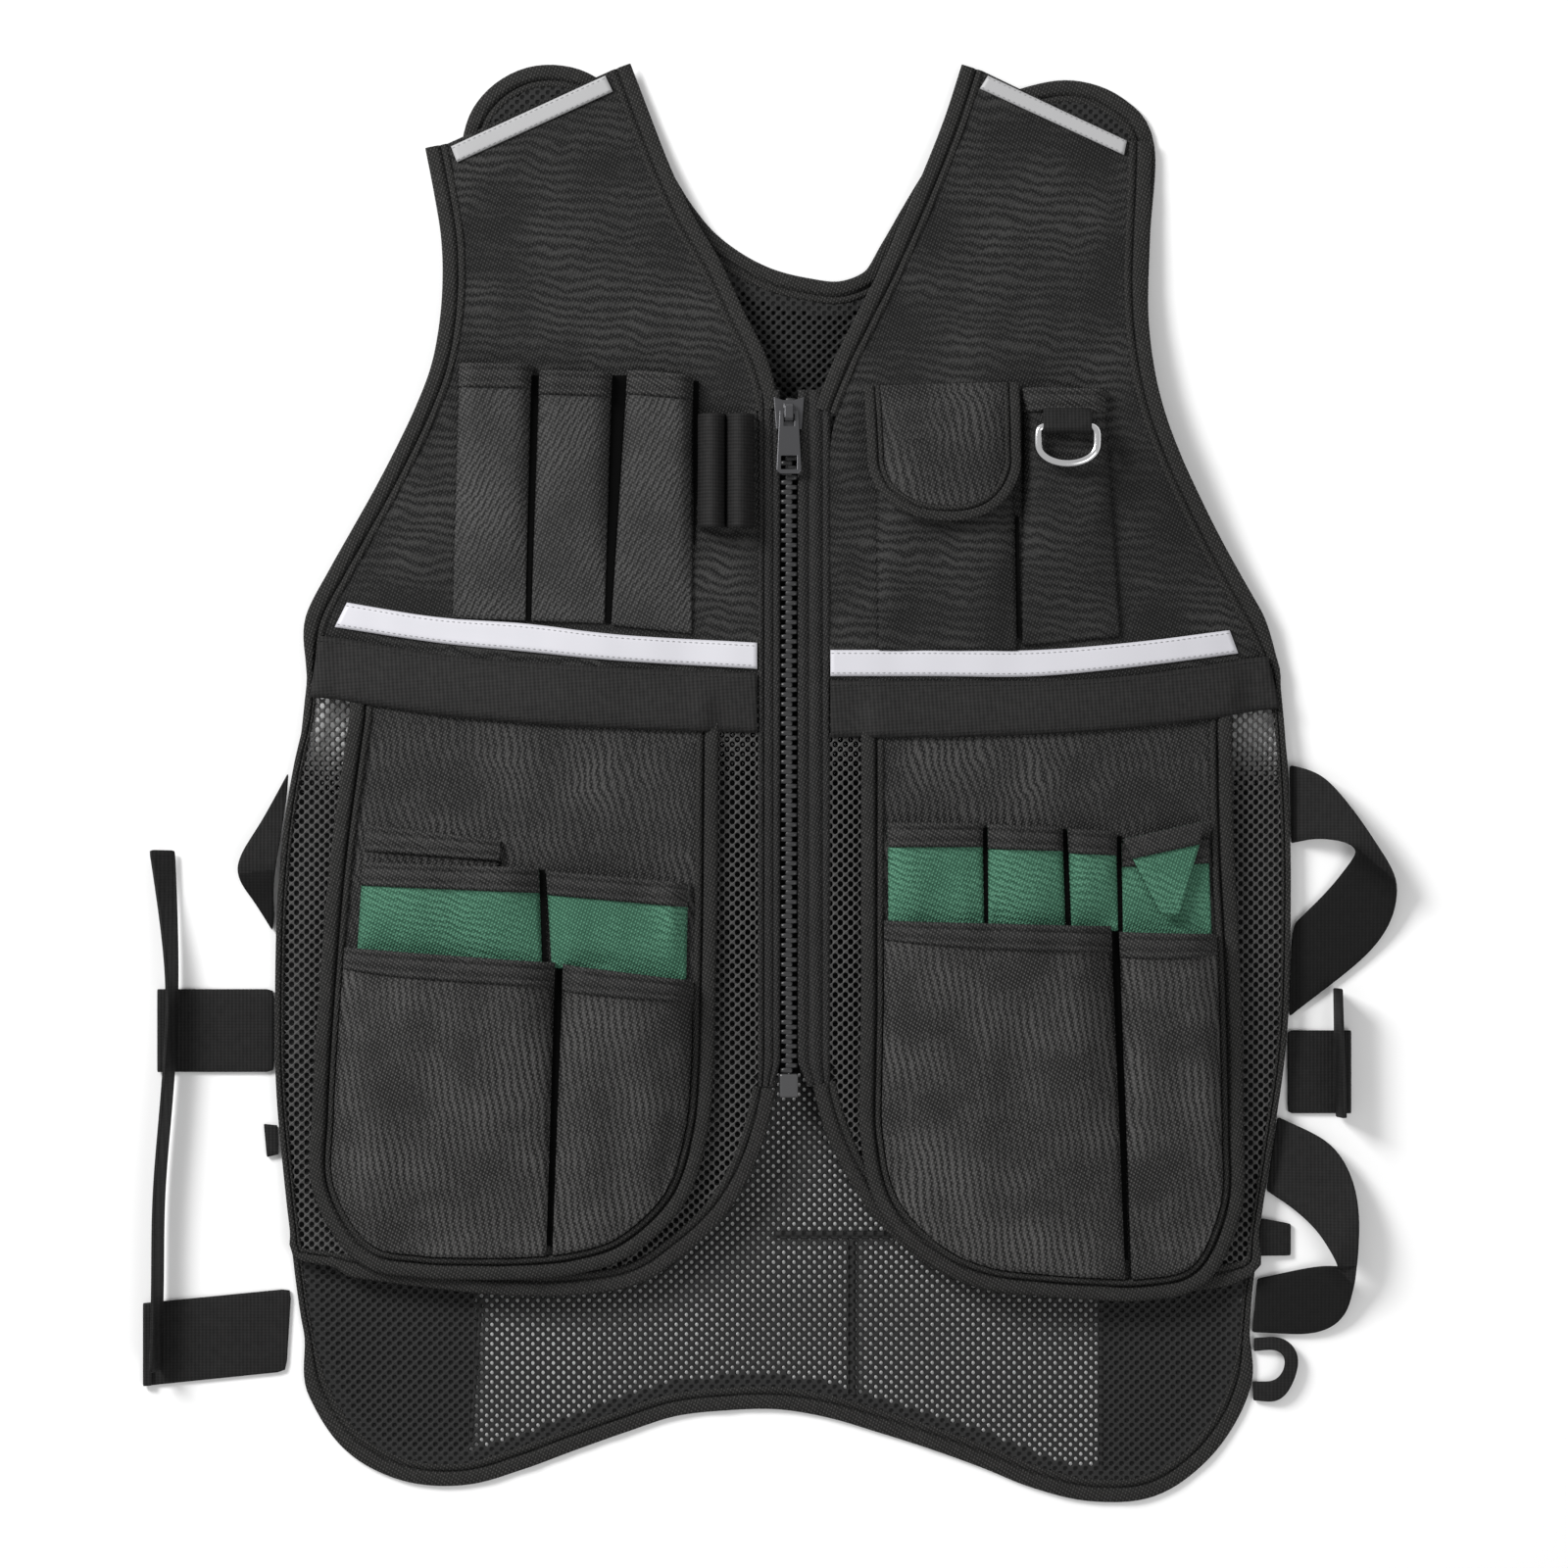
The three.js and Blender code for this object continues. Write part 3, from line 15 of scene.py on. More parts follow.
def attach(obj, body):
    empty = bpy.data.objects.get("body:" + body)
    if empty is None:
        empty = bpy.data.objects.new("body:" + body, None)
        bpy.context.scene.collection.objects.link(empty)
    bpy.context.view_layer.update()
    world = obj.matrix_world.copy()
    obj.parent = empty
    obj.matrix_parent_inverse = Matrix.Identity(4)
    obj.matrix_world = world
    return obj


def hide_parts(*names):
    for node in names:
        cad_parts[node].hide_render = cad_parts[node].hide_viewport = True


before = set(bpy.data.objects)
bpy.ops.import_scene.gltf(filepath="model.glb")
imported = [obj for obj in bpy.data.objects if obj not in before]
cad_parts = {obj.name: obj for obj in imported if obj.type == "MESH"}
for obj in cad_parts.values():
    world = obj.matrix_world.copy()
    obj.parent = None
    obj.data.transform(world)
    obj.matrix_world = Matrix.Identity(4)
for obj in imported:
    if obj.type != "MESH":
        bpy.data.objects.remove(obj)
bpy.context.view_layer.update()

MM = 0.001

# Driving sizes, in millimetres
VEST_LENGTH = 664
VEST_HALF_WIDTH = 234
CLOTH = 1.2
CLEARANCE = 0.4
BINDING_WIDTH = 10
SIDE_BINDING_WIDTH = 4
BINDING_HEIGHT = 2.6
PANEL_BINDING_HEIGHT = 5.0
HOLLOW_HEIGHT = 15
FRONT_BASE = 3.0
ON_CLOTH = 1.6
PANEL_LIFT = 3.0
HEM_DEPTH = 11
HEM_RISE = 1.8
CLOTH_STEP = 3.5
NET_ACROSS = 4.7
NET_UP = 4.4
NET_HOLE_ACROSS = 0.85
NET_HOLE_UP = 1.0
NET_DIP = 0.35
STITCH_PITCH = 2.6
STITCH_LENGTH = 1.8
STITCH_RADIUS = 0.24
ON_TOP = 0.1
OUTLINE_STEP = 3.0
SIDE_STEP = 2.0
SAME_POINT = 0.01
DRAPE_HEIGHT = 3.0

# Turns in degrees, shares and a guard against division by nothing
SHARP_TURN = 42
PANEL_SHARP_TURN = 68
DOME_AT_HEM = 0.55
DOME_GAIN = 0.45
UPWARD = 0.3
TINY = 1e-12


# Shapes that every piece follows

def spot(across, up):
    """A point on the vest: across in half widths from the zip, up in lengths from the lowest hem."""
    return np.array([across * VEST_HALF_WIDTH, (up - 0.5) * VEST_LENGTH])


def share_up(y):
    """Where a height lies on the vest, in lengths from the lowest hem."""
    return y / VEST_LENGTH + 0.5


def smooth(share):
    t = np.clip(share, 0, 1)
    return t * t * (3 - 2 * t)


def ramp(value, start, span):
    """Rises smoothly from 0 to 1 while the value goes from start to start + span."""
    return smooth((value - start) / span)


def underside(x, y):
    """Height of the fronts' underside: a low dome that closes on the back's shoulders."""
    across = np.minimum(np.abs(x) / VEST_HALF_WIDTH, 1)
    dome = 1 - across ** 3
    from_hem = DOME_AT_HEM + DOME_GAIN * ramp(share_up(y), start=0.15, span=0.3)
    to_shoulder = 1 - ramp(share_up(y), start=0.68, span=0.3)
    return FRONT_BASE + HOLLOW_HEIGHT * dome * from_hem * to_shoulder


def noise_at(x, y, size, seed):
    """Smooth noise from -1 to 1 whose lumps are about size millimetres wide."""
    flat_x, flat_y = np.ravel(x), np.ravel(y)
    values = [noise.noise((a / size, b / size, seed)) for a, b in zip(flat_x, flat_y)]
    return np.reshape(np.array(values), np.shape(x))


def drape(x, y):
    """Soft swells that all layers of a front share, fading out at the zip and the shoulders."""
    from_zip = ramp(np.abs(x), start=22, span=30)
    low = 1 - ramp(share_up(y), start=0.8, span=0.15)
    return from_zip * low * DRAPE_HEIGHT * noise_at(x, y, size=62, seed=3.0)


def front_ground(x, y):
    return underside(x, y) + drape(x, y)


def back_ground(x, y):
    return 0 * x


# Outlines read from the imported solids

def welded(node):
    """The node's corners in millimetres and its triangles, with doubled corners joined."""
    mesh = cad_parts[node].data
    mesh.calc_loop_triangles()
    points = np.array([v.co for v in mesh.vertices]) / MM
    keys = {}
    index = [keys.setdefault(tuple(np.round(p, 2)), len(keys)) for p in points]
    corners = np.array(list(keys))
    triangles = np.array([[index[i] for i in t.vertices] for t in mesh.loop_triangles])
    distinct = [len(set(t)) == 3 for t in triangles]
    return corners, triangles[np.array(distinct)]


def outline(node):
    """The edge of the node's upper side seen from above, counterclockwise."""
    corners, triangles = welded(node)
    a, b, c = (corners[triangles[:, k]] for k in range(3))
    normal = np.cross(b - a, c - a)
    normal /= np.linalg.norm(normal, axis=1)[:, None] + TINY
    after = {}
    directed = set()
    for t in triangles[normal[:, 2] > UPWARD]:
        directed.update([(t[0], t[1]), (t[1], t[2]), (t[2], t[0])])
    for i, j in directed:
        if (j, i) not in directed:
            after[i] = j
    loops = []
    while after:
        start, here = next(iter(after.items()))
        loop = [start]
        del after[start]
        while here != start and here in after:
            loop.append(here)
            here = after.pop(here)
        loops.append(loop)
    longest = max(loops, key=len)
    return corners[longest][:, :2]


def turns(loop):
    before = loop - np.roll(loop, 1, 0)
    after = np.roll(loop, -1, 0) - loop
    cross = before[:, 0] * after[:, 1] - before[:, 1] * after[:, 0]
    return np.degrees(np.arctan2(cross, (before * after).sum(1)))


def spline(points, step):
    """A smooth line through the points, with a new point about every step."""
    points = np.asarray(points, float)
    if len(points) == 2:
        count = max(int(np.linalg.norm(points[1] - points[0]) / step), 1)
        shares = np.linspace(0, 1, count + 1)[:, None]
        return points[0] * (1 - shares) + points[1] * shares
    ends = [2 * points[0] - points[1], *points, 2 * points[-1] - points[-2]]
    out = []
    for p0, p1, p2, p3 in zip(ends, ends[1:], ends[2:], ends[3:]):
        count = max(int(round(np.linalg.norm(p2 - p1) / step)), 1)
        for t in np.arange(count) / count:
            out.append(0.5 * (2 * p1 + (p2 - p0) * t + (2 * p0 - 5 * p1 + 4 * p2 - p3) * t ** 2
                              + (3 * p1 - p0 - 3 * p2 + p3) * t ** 3))
    out.append(points[-1])
    return np.array(out)


def corner_sides(loop, sharp=SHARP_TURN):
    """The loop cut at its sharp corners, each side with both its ends."""
    at = np.flatnonzero(np.abs(turns(loop)) > sharp)
    if len(at) == 0:
        return [np.vstack([loop, loop[:1]])]
    sides = []
    for i, j in zip(at, np.roll(at, -1)):
        last = j if j > i else j + len(loop)
        sides.append(loop[np.arange(i, last + 1) % len(loop)])
    return sides


def smooth_loop(loop, sharp=SHARP_TURN):
    return np.vstack([spline(side, OUTLINE_STEP)[:-1] for side in corner_sides(loop, sharp)])


def lengths_along(line):
    """The line's length up to each of its points."""
    return np.r_[0, np.cumsum(np.linalg.norm(np.diff(line, axis=0), axis=1))]


def evenly(line, count):
    """count + 1 points evenly spaced along a line."""
    lengths = lengths_along(line)
    at = np.linspace(0, lengths[-1], count + 1)
    return np.stack([np.interp(at, lengths, line[:, k]) for k in range(line.shape[1])], 1)


def top_corners(loop):
    """The loop's two highest corners, left and right."""
    tops = sorted((part[0] for part in corner_sides(loop)), key=lambda corner: -corner[1])[:2]
    return sorted(tops, key=lambda corner: corner[0])


def section(loop, start, end, ccw=True):
    """The part of a closed loop from the point nearest start to the one nearest end."""
    i = int(np.argmin(np.linalg.norm(loop - start, axis=1)))
    j = int(np.argmin(np.linalg.norm(loop - end, axis=1)))
    way = 1 if ccw else -1
    count = (way * (j - i)) % len(loop)
    return loop[(i + way * np.arange(count + 1)) % len(loop)]


def inside(points, loop):
    """Whether each point lies inside the loop."""
    x, y = points[:, 0], points[:, 1]
    within = np.zeros(len(points), bool)
    for (x1, y1), (x2, y2) in zip(loop, np.roll(loop, -1, 0)):
        crosses = (y1 > y) != (y2 > y)
        slope = (x2 - x1) / (y2 - y1 + TINY)
        within ^= crosses & (x < x1 + slope * (y - y1))
    return within


def distance(points, loop):
    """How far each point lies from the loop."""
    best = np.full(len(points), np.inf)
    for a, b in zip(loop, np.roll(loop, -1, 0)):
        along = b - a
        share = np.clip(((points - a) @ along) / (along @ along + TINY), 0, 1)
        gap = np.linalg.norm(points - a - share[:, None] * along, axis=1)
        best = np.minimum(best, gap)
    return best


# Meshes, and hiding the solids they stand for

# Flat sizes: the narrowest sheet in metres, room for rounding, and how much of its rectangle a cut fills
NARROWEST_SHEET = 0.0101
SHEET_ROOM = 1.001
LEAST_FILL = 0.31
SET_FILL = 0.32


def add_mesh(name, points, faces, material):
    """A smooth piece of the vest from points in millimetres."""
    mesh = bpy.data.meshes.new(name)
    mesh.from_pydata([tuple(p) for p in np.asarray(points) * MM], [], faces)
    mesh.validate()
    obj = bpy.data.objects.new(name, mesh)
    bpy.context.scene.collection.objects.link(obj)
    mesh.polygons.foreach_set("use_smooth", [True] * len(mesh.polygons))
    mesh.materials.append(material)
    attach(obj, "vest")
    return obj


def thicken(obj, thickness):
    mod = obj.modifiers.new("thickness", "SOLIDIFY")
    mod.thickness = thickness * MM
    mod.offset = -1


def surface_area(obj):
    return sum(p.area for p in obj.data.polygons)


def declare_cloth(obj, nodes=(), layers=1):
    """Hides the solids that the piece stands for and works out a size for its flat cut, which nothing
    uses.
    """
    if nodes:
        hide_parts(*nodes)
    area = surface_area(obj) / layers
    points = np.array([v.co for v in obj.data.vertices])
    wide, long = np.ptp(points[:, 0]), np.ptp(points[:, 1])
    grow = math.sqrt(max(area / (wide * long), 1)) * SHEET_ROOM
    size = (max(float(wide * grow), NARROWEST_SHEET), max(float(long * grow), NARROWEST_SHEET))
    if area < LEAST_FILL * size[0] * size[1]:
        shorter = area / (SET_FILL * size[0] * size[1])
        size = (size[0], size[1] * shorter)


def grid_faces(rows, columns):
    """Four-sided faces of a grid whose points are counted row by row."""
    faces = []
    wide = columns + 1
    for j in range(rows):
        for i in range(columns):
            here = j * wide + i
            faces.append((here, here + 1, here + wide + 1, here + wide))
    return faces


FREE_OF_EDGE = 0.6
INSIDE_ONLY = 1
JOIN_WITHIN = 1e-5


def filled(name, loop, height, material, step=CLOTH_STEP):
    """Cloth inside a loop, on a lattice whose points keep a share of a step from the loop."""
    low, high = loop.min(0), loop.max(0)
    xs = np.arange(low[0], high[0], step)
    ys = np.arange(low[1], high[1], step)
    lattice = np.array(np.meshgrid(xs, ys)).reshape(2, -1).T
    lattice = lattice[inside(lattice, loop)]
    lattice = lattice[distance(lattice, loop) > FREE_OF_EDGE * step]
    points = np.vstack([loop, lattice])
    edges = [(i, (i + 1) % len(loop)) for i in range(len(loop))]
    made = delaunay_2d_cdt([Vector(p) for p in points], edges, [], INSIDE_ONLY, JOIN_WITHIN)
    flat = np.array([tuple(p) for p in made[0]])
    z = height(flat[:, 0], flat[:, 1])
    return add_mesh(name, np.column_stack([flat, z]), [tuple(f) for f in made[2]], material)


def patched(bottom, right, top, left, columns, rows):
    """A grid filled in between four sides, given from the left and from the foot."""
    bottom, top = evenly(bottom, columns), evenly(top, columns)
    left, right = evenly(left, rows), evenly(right, rows)
    u = np.linspace(0, 1, columns + 1)[None, :, None]
    v = np.linspace(0, 1, rows + 1)[:, None, None]
    grid = (1 - v) * bottom[None] + v * top[None] + (1 - u) * left[:, None] + u * right[:, None]
    grid -= (1 - u) * (1 - v) * bottom[0] + u * (1 - v) * bottom[-1]
    grid -= (1 - u) * v * top[0] + u * v * top[-1]
    return grid


# The left foot corner of a tilted piece has the least of x and y weighed like this
FOOT_WEIGHTS = (1.0, 1.4)


def four_sides(node, columns, rows):
    """A grid of points over a four-cornered piece, rows upwards and columns to the right."""
    loop = outline(node)
    at = np.sort(np.argsort(-np.abs(turns(loop)))[:4])
    lowest = at[np.argmin(loop[at] @ np.array(FOOT_WEIGHTS))]
    order = np.roll(at, -int(np.flatnonzero(at == lowest)[0]))
    sides = []
    for i, j in zip(order, np.roll(order, -1)):
        last = j if j > i else j + len(loop)
        sides.append(spline(loop[np.arange(i, last + 1) % len(loop)], SIDE_STEP))
    return patched(sides[0], sides[1], sides[2][::-1], sides[3][::-1], columns, rows)


def gridded(name, grid, z, material):
    """Cloth from a grid of points and a height for each."""
    rows, columns = grid.shape[0] - 1, grid.shape[1] - 1
    points = np.dstack([grid, z]).reshape(-1, 3)
    return add_mesh(name, points, grid_faces(rows, columns), material)


# Tape along an edge: reach in widths outwards, rise in heights
EDGE_PROFILE = [
    (-0.06, 0.25), (-0.03, 0.66), (0.03, 0.84), (0.2, 0.86), (0.28, 0.25), (0.34, 0.25), (0.41, 0.92),
    (0.5, 1.0), (0.7, 0.97), (0.9, 0.93), (0.97, 0.78), (1.0, 0.4), (0.98, 0.02),
]
PLACKET_PROFILE = [
    (-0.06, 0.3), (0.0, 0.75), (0.12, 0.9), (0.19, 0.25), (0.24, 0.25), (0.31, 0.85), (0.56, 0.9),
    (0.63, 0.45), (0.68, 0.45), (0.75, 1.0), (0.9, 1.0), (0.97, 0.7), (1.0, 0.25), (0.99, 0.02),
]
WAVE_SHARE = 0.18
WAVE_ABOVE = 0.3


def outward_of(path, closed, side):
    """Level directions away from a path, to its left where side is 1."""
    if closed:
        along = np.roll(path, -1, 0) - np.roll(path, 1, 0)
    else:
        along = np.gradient(path, axis=0)
    along /= np.linalg.norm(along, axis=1)[:, None] + TINY
    return side * np.column_stack([-along[:, 1], along[:, 0]])


def swept(name, path, widths, base, height, side, material, closed=False, profile=EDGE_PROFILE):
    """Tape swept along a path. side is 1 to the left of the path."""
    outward = outward_of(path, closed, side)
    wave = WAVE_SHARE * noise_at(path[:, 0], path[:, 1], size=9, seed=5.0)
    rows = []
    for reach, rise in profile:
        flat = path + outward * (CLEARANCE + reach * widths)[:, None]
        z = base + rise * height * (1 + wave * (rise > WAVE_ABOVE))
        rows.append(np.column_stack([flat, z]))
    points = np.stack(rows, 1)
    count = len(profile)
    faces = []
    spans = len(path) if closed else len(path) - 1
    for j in range(spans):
        k = (j + 1) % len(path)
        for i in range(count - 1):
            quad = (j * count + i, j * count + i + 1, k * count + i + 1, k * count + i)
            faces.append(quad if side < 0 else quad[::-1])
    return add_mesh(name, points.reshape(-1, 3), faces, material)


# Points and faces of all dark and of all light stitches
dark_rows, light_rows = ([], []), ([], [])


def stitched(line, rows=dark_rows):
    """A row of stitches along a line of points in space."""
    stitch_points, stitch_faces = rows
    lengths = lengths_along(line)
    if lengths[-1] < STITCH_PITCH:
        return
    for start in np.arange(0, lengths[-1] - STITCH_LENGTH, STITCH_PITCH):
        ends = [np.array([np.interp(s, lengths, line[:, k]) for k in range(3)])
                for s in (start, start + STITCH_LENGTH)]
        along = ends[1] - ends[0]
        along /= np.linalg.norm(along) + TINY
        across = np.array([-along[1], along[0], 0.0])
        middle = (ends[0] + ends[1]) / 2
        up = np.array([0, 0, 1.0])
        at = len(stitch_points)
        stitch_points.extend([
            ends[0], ends[1], middle + across * STITCH_RADIUS, middle - across * STITCH_RADIUS,
            middle + up * STITCH_RADIUS, middle - up * STITCH_RADIUS])
        for a, b in ((2, 4), (4, 3), (3, 5), (5, 2)):
            stitch_faces.append((at, at + a, at + b))
            stitch_faces.append((at + 1, at + b, at + a))


# Materials

CLOTH_SPECULAR = 0.2
WEAVE_PITCH = 1.6


def new_material(name):
    """A material, its node tools (nodes and links) and its shader."""
    mat = bpy.data.materials.new(name)
    mat.use_nodes = True
    nodes, links = mat.node_tree.nodes, mat.node_tree.links
    return mat, (nodes, links), nodes["Principled BSDF"]


def socket_value(nodes, links, kind, operation, *inputs):
    node = nodes.new(kind)
    node.operation = operation
    for slot_in, value in zip(node.inputs, inputs):
        if isinstance(value, (int, float, tuple)):
            slot_in.default_value = value
        else:
            links.new(value, slot_in)
    return node


def maths(tools, operation, *inputs):
    return socket_value(*tools, "ShaderNodeMath", operation, *inputs).outputs[0]


def millimetres(tools):
    """Object coordinates in millimetres."""
    nodes, links = tools
    place = nodes.new("ShaderNodeTexCoord")
    scale = socket_value(nodes, links, "ShaderNodeVectorMath", "SCALE", place.outputs["Object"])
    scale.inputs["Scale"].default_value = 1000
    return scale.outputs[0]


def lumps(tools, coords, size, detail=3.0):
    """Noise whose lumps are about size millimetres wide."""
    nodes, links = tools
    node = nodes.new("ShaderNodeTexNoise")
    node.inputs["Scale"].default_value = 1 / size
    node.inputs["Detail"].default_value = detail
    links.new(coords, node.inputs["Vector"])
    return node.outputs[0]


def ribs(tools, coords, angle, pitch, sway=0.0, lump=None, crest=0.25):
    """Waves from 0 to 1 that run across the given direction, in degrees from +X.

    crest is where in a pitch the waves are highest."""
    nodes, links = tools
    turn = math.radians(angle)
    way = (math.cos(turn) * 2 * math.pi / pitch, math.sin(turn) * 2 * math.pi / pitch, 0.0)
    dot = nodes.new("ShaderNodeVectorMath")
    dot.operation = "DOT_PRODUCT"
    links.new(coords, dot.inputs[0])
    dot.inputs[1].default_value = way
    phase = dot.outputs["Value"]
    if lump is not None:
        phase = maths(tools, "MULTIPLY_ADD", lump, sway, phase)
    wave = maths(tools, "COSINE", maths(tools, "SUBTRACT", phase, crest * 2 * math.pi))
    return maths(tools, "MULTIPLY_ADD", wave, 0.5, 0.5)


def mixed(tools, share, dark, light):
    nodes, links = tools
    mix = nodes.new("ShaderNodeMix")
    mix.data_type = "RGBA"
    links.new(share, mix.inputs["Factor"])
    mix.inputs["A"].default_value = (*dark, 1)
    mix.inputs["B"].default_value = (*light, 1)
    return mix.outputs["Result"]


def coloured(tools, shader, share, dark, light, rough):
    """Cloth between a dark and a light colour, with little shine."""
    links = tools[1]
    links.new(mixed(tools, share, dark, light), shader.inputs["Base Color"])
    shader.inputs["Roughness"].default_value = rough
    shader.inputs["Specular IOR Level"].default_value = CLOTH_SPECULAR


def bumped(tools, shader, height, strength, depth):
    nodes, links = tools
    bump = nodes.new("ShaderNodeBump")
    bump.inputs["Strength"].default_value = strength
    bump.inputs["Distance"].default_value = depth * MM
    links.new(height, bump.inputs["Height"])
    links.new(bump.outputs[0], shader.inputs["Normal"])


def woven(name, dark, light, streak_angle, streak_pitch, streak_share, sway):
    """Twill or plain cloth: fine crossing yarns, with swaying streaks along the twill that show lighter
    in soft patches: painted sheen.
    """
    mat, tools, shader = new_material(name)
    coords = millimetres(tools)
    lump = lumps(tools, coords, size=16)
    sheen_patch = lumps(tools, coords, size=34, detail=2.0)
    fine = lumps(tools, coords, size=1.6, detail=2.0)
    warp = ribs(tools, coords, angle=58, pitch=WEAVE_PITCH)
    weft = ribs(tools, coords, angle=-20, pitch=WEAVE_PITCH * 0.85)
    weave = maths(tools, "MULTIPLY", warp, weft)
    streak = ribs(tools, coords, streak_angle, streak_pitch, sway, lump)
    # Painted sheen: the streaks show lighter only where the broad patch noise rises
    strength = maths(tools, "MULTIPLY_ADD", sheen_patch, 4.0 * streak_share, -1.3 * streak_share)
    streak = maths(tools, "MULTIPLY", streak, maths(tools, "MAXIMUM", strength, 0.0))
    share = maths(tools, "MULTIPLY_ADD", weave, 1.1, streak)
    share = maths(tools, "MULTIPLY_ADD", fine, 0.8, maths(tools, "SUBTRACT", share, 0.5))
    coloured(tools, shader, share, dark, light, rough=0.8)
    height = maths(tools, "MULTIPLY_ADD", streak, 1.2, weave)
    bumped(tools, shader, height, strength=0.8, depth=0.6)
    return mat


def ribbed(name, dark, light, angle, pitch):
    """Webbing or binding: fine ribs across its length."""
    mat, tools, shader = new_material(name)
    coords = millimetres(tools)
    rib = ribs(tools, coords, angle, pitch)
    cross = ribs(tools, coords, angle + 90, pitch * 0.8)
    fine = lumps(tools, coords, size=3.0)
    weave = maths(tools, "MULTIPLY_ADD", cross, 0.35, maths(tools, "MULTIPLY", rib, 0.65))
    share = maths(tools, "MULTIPLY_ADD", fine, 0.6, maths(tools, "MULTIPLY_ADD", weave, 0.6, -0.2))
    coloured(tools, shader, share, dark, light, rough=0.75)
    bumped(tools, shader, weave, strength=0.5, depth=0.35)
    return mat


def netted(name, dark, light):
    """Net: yarns round a staggered lattice of holes, which are dark dips where they aren't cut."""
    mat, tools, shader = new_material(name)
    coords = millimetres(tools)
    across = ribs(tools, coords, angle=0, pitch=NET_ACROSS, crest=0.0)
    up = ribs(tools, coords, angle=90, pitch=NET_UP, crest=0.0)
    across = maths(tools, "MULTIPLY_ADD", across, 2.0, -1.0)
    up = maths(tools, "MULTIPLY_ADD", up, 2.0, -1.0)
    lattice = maths(tools, "MULTIPLY", across, up)
    yarn = maths(tools, "MINIMUM", maths(tools, "MULTIPLY_ADD", lattice, -1.5, 1.0), 1.0)
    yarn = maths(tools, "MAXIMUM", yarn, 0.0)
    coloured(tools, shader, yarn, dark, light, rough=0.6)
    bumped(tools, shader, yarn, strength=0.8, depth=0.6)
    return mat


def plain(name, color, rough, metal, specular):
    """One colour all over."""
    mat, _, shader = new_material(name)
    shader.inputs["Base Color"].default_value = (*color, 1)
    shader.inputs["Roughness"].default_value = rough
    shader.inputs["Metallic"].default_value = metal
    shader.inputs["Specular IOR Level"].default_value = specular
    return mat


# Colours are linear; streaks and ribs follow one another along an angle from +X, a pitch apart
WOVEN_COLUMNS = ("name", "dark", "light", "streak_angle", "streak_pitch", "streak_share", "sway")
WOVEN_ROWS = [
    ("yoke_cloth", (0.007, 0.007, 0.007), (0.046, 0.0455, 0.0445), 84, 4.4, 0.6, 16.0),
    ("panel_cloth", (0.009, 0.009, 0.009), (0.078, 0.0765, 0.075), 12, 3.4, 0.5, 16.0),
    ("cargo_cloth", (0.011, 0.0108, 0.0106), (0.098, 0.096, 0.094), 8, 3.2, 0.55, 10.0),
    ("pen_cloth", (0.018, 0.018, 0.0178), (0.088, 0.087, 0.086), -34, 2.7, 0.5, 16.0),
    ("hem_cloth", (0.014, 0.014, 0.014), (0.084, 0.082, 0.08), 60, 2.2, 0.25, 16.0),
    ("green_cloth", (0.03, 0.1, 0.062), (0.12, 0.3, 0.2), 76, 2.8, 0.4, 16.0),
    ("binding_cloth", (0.012, 0.012, 0.0115), (0.064, 0.062, 0.06), 45, 2.2, 0.1, 16.0),
    ("placket_cloth", (0.012, 0.012, 0.012), (0.06, 0.058, 0.057), 0, 2.2, 0.1, 16.0),
]
RIBBED_COLUMNS = ("name", "dark", "light", "angle", "pitch")
RIBBED_ROWS = [
    ("webbing_cloth", (0.004, 0.004, 0.004), (0.021, 0.0205, 0.0205), 0, 1.7),
    ("webbing_shade", (0.002, 0.002, 0.002), (0.009, 0.0088, 0.0088), 0, 1.7),
    ("band_cloth", (0.006, 0.006, 0.006), (0.031, 0.03, 0.0295), 4, 1.9),
    ("loop_cloth", (0.006, 0.006, 0.006), (0.023, 0.022, 0.022), 90, 1.6),
]
NETTED_COLUMNS = ("name", "dark", "light")
NETTED_ROWS = [
    ("side_net", (0.0015, 0.0015, 0.0015), (0.07, 0.069, 0.068)),
    ("back_net_cloth", (0.001, 0.001, 0.001), (0.02, 0.02, 0.02)),
]
PLAIN_COLUMNS = ("name", "color", "rough", "metal", "specular")
PLAIN_ROWS = [
    ("fold_shadow", (0.004, 0.004, 0.004), 1.0, 0.0, 0.0),
    ("stitch_thread", (0.008, 0.008, 0.008), 0.8, 0.0, 0.5),
    ("reflector", (0.6, 0.595, 0.635), 0.5, 0.0, 0.5),
    ("shoulder_reflector", (0.4, 0.4, 0.405), 0.5, 0.0, 0.5),
    ("light_thread", (0.36, 0.36, 0.37), 0.7, 0.0, 0.5),
    ("zip_plastic", (0.022, 0.022, 0.023), 0.4, 0.0, 0.5),
    ("box_plastic", (0.06, 0.06, 0.062), 0.35, 0.0, 0.5),
    ("gunmetal", (0.1, 0.1, 0.105), 0.36, 0.85, 0.5),
    ("chrome", (0.86, 0.86, 0.87), 0.16, 1.0, 0.5),
    ("floor_white", (0.97, 0.97, 0.97), 0.9, 0.0, 0.1),
]


def named_rows(columns, rows):
    return [dict(zip(columns, row)) for row in rows]


looks = {}
for make, columns, rows in ((woven, WOVEN_COLUMNS, WOVEN_ROWS), (ribbed, RIBBED_COLUMNS, RIBBED_ROWS),
                            (netted, NETTED_COLUMNS, NETTED_ROWS), (plain, PLAIN_COLUMNS, PLAIN_ROWS)):
    for row in named_rows(columns, rows):
        looks[row["name"]] = make(**row)


# Back panel and fronts in net, with real holes where the net shows

NET_MARGIN = 3
BACK_NET_LIFT = 1.5
FRONT_NET_LIFT = CLOTH + 0.3
HOLE_CORNERS = 8


def no_holes(points):
    return np.zeros(len(points))


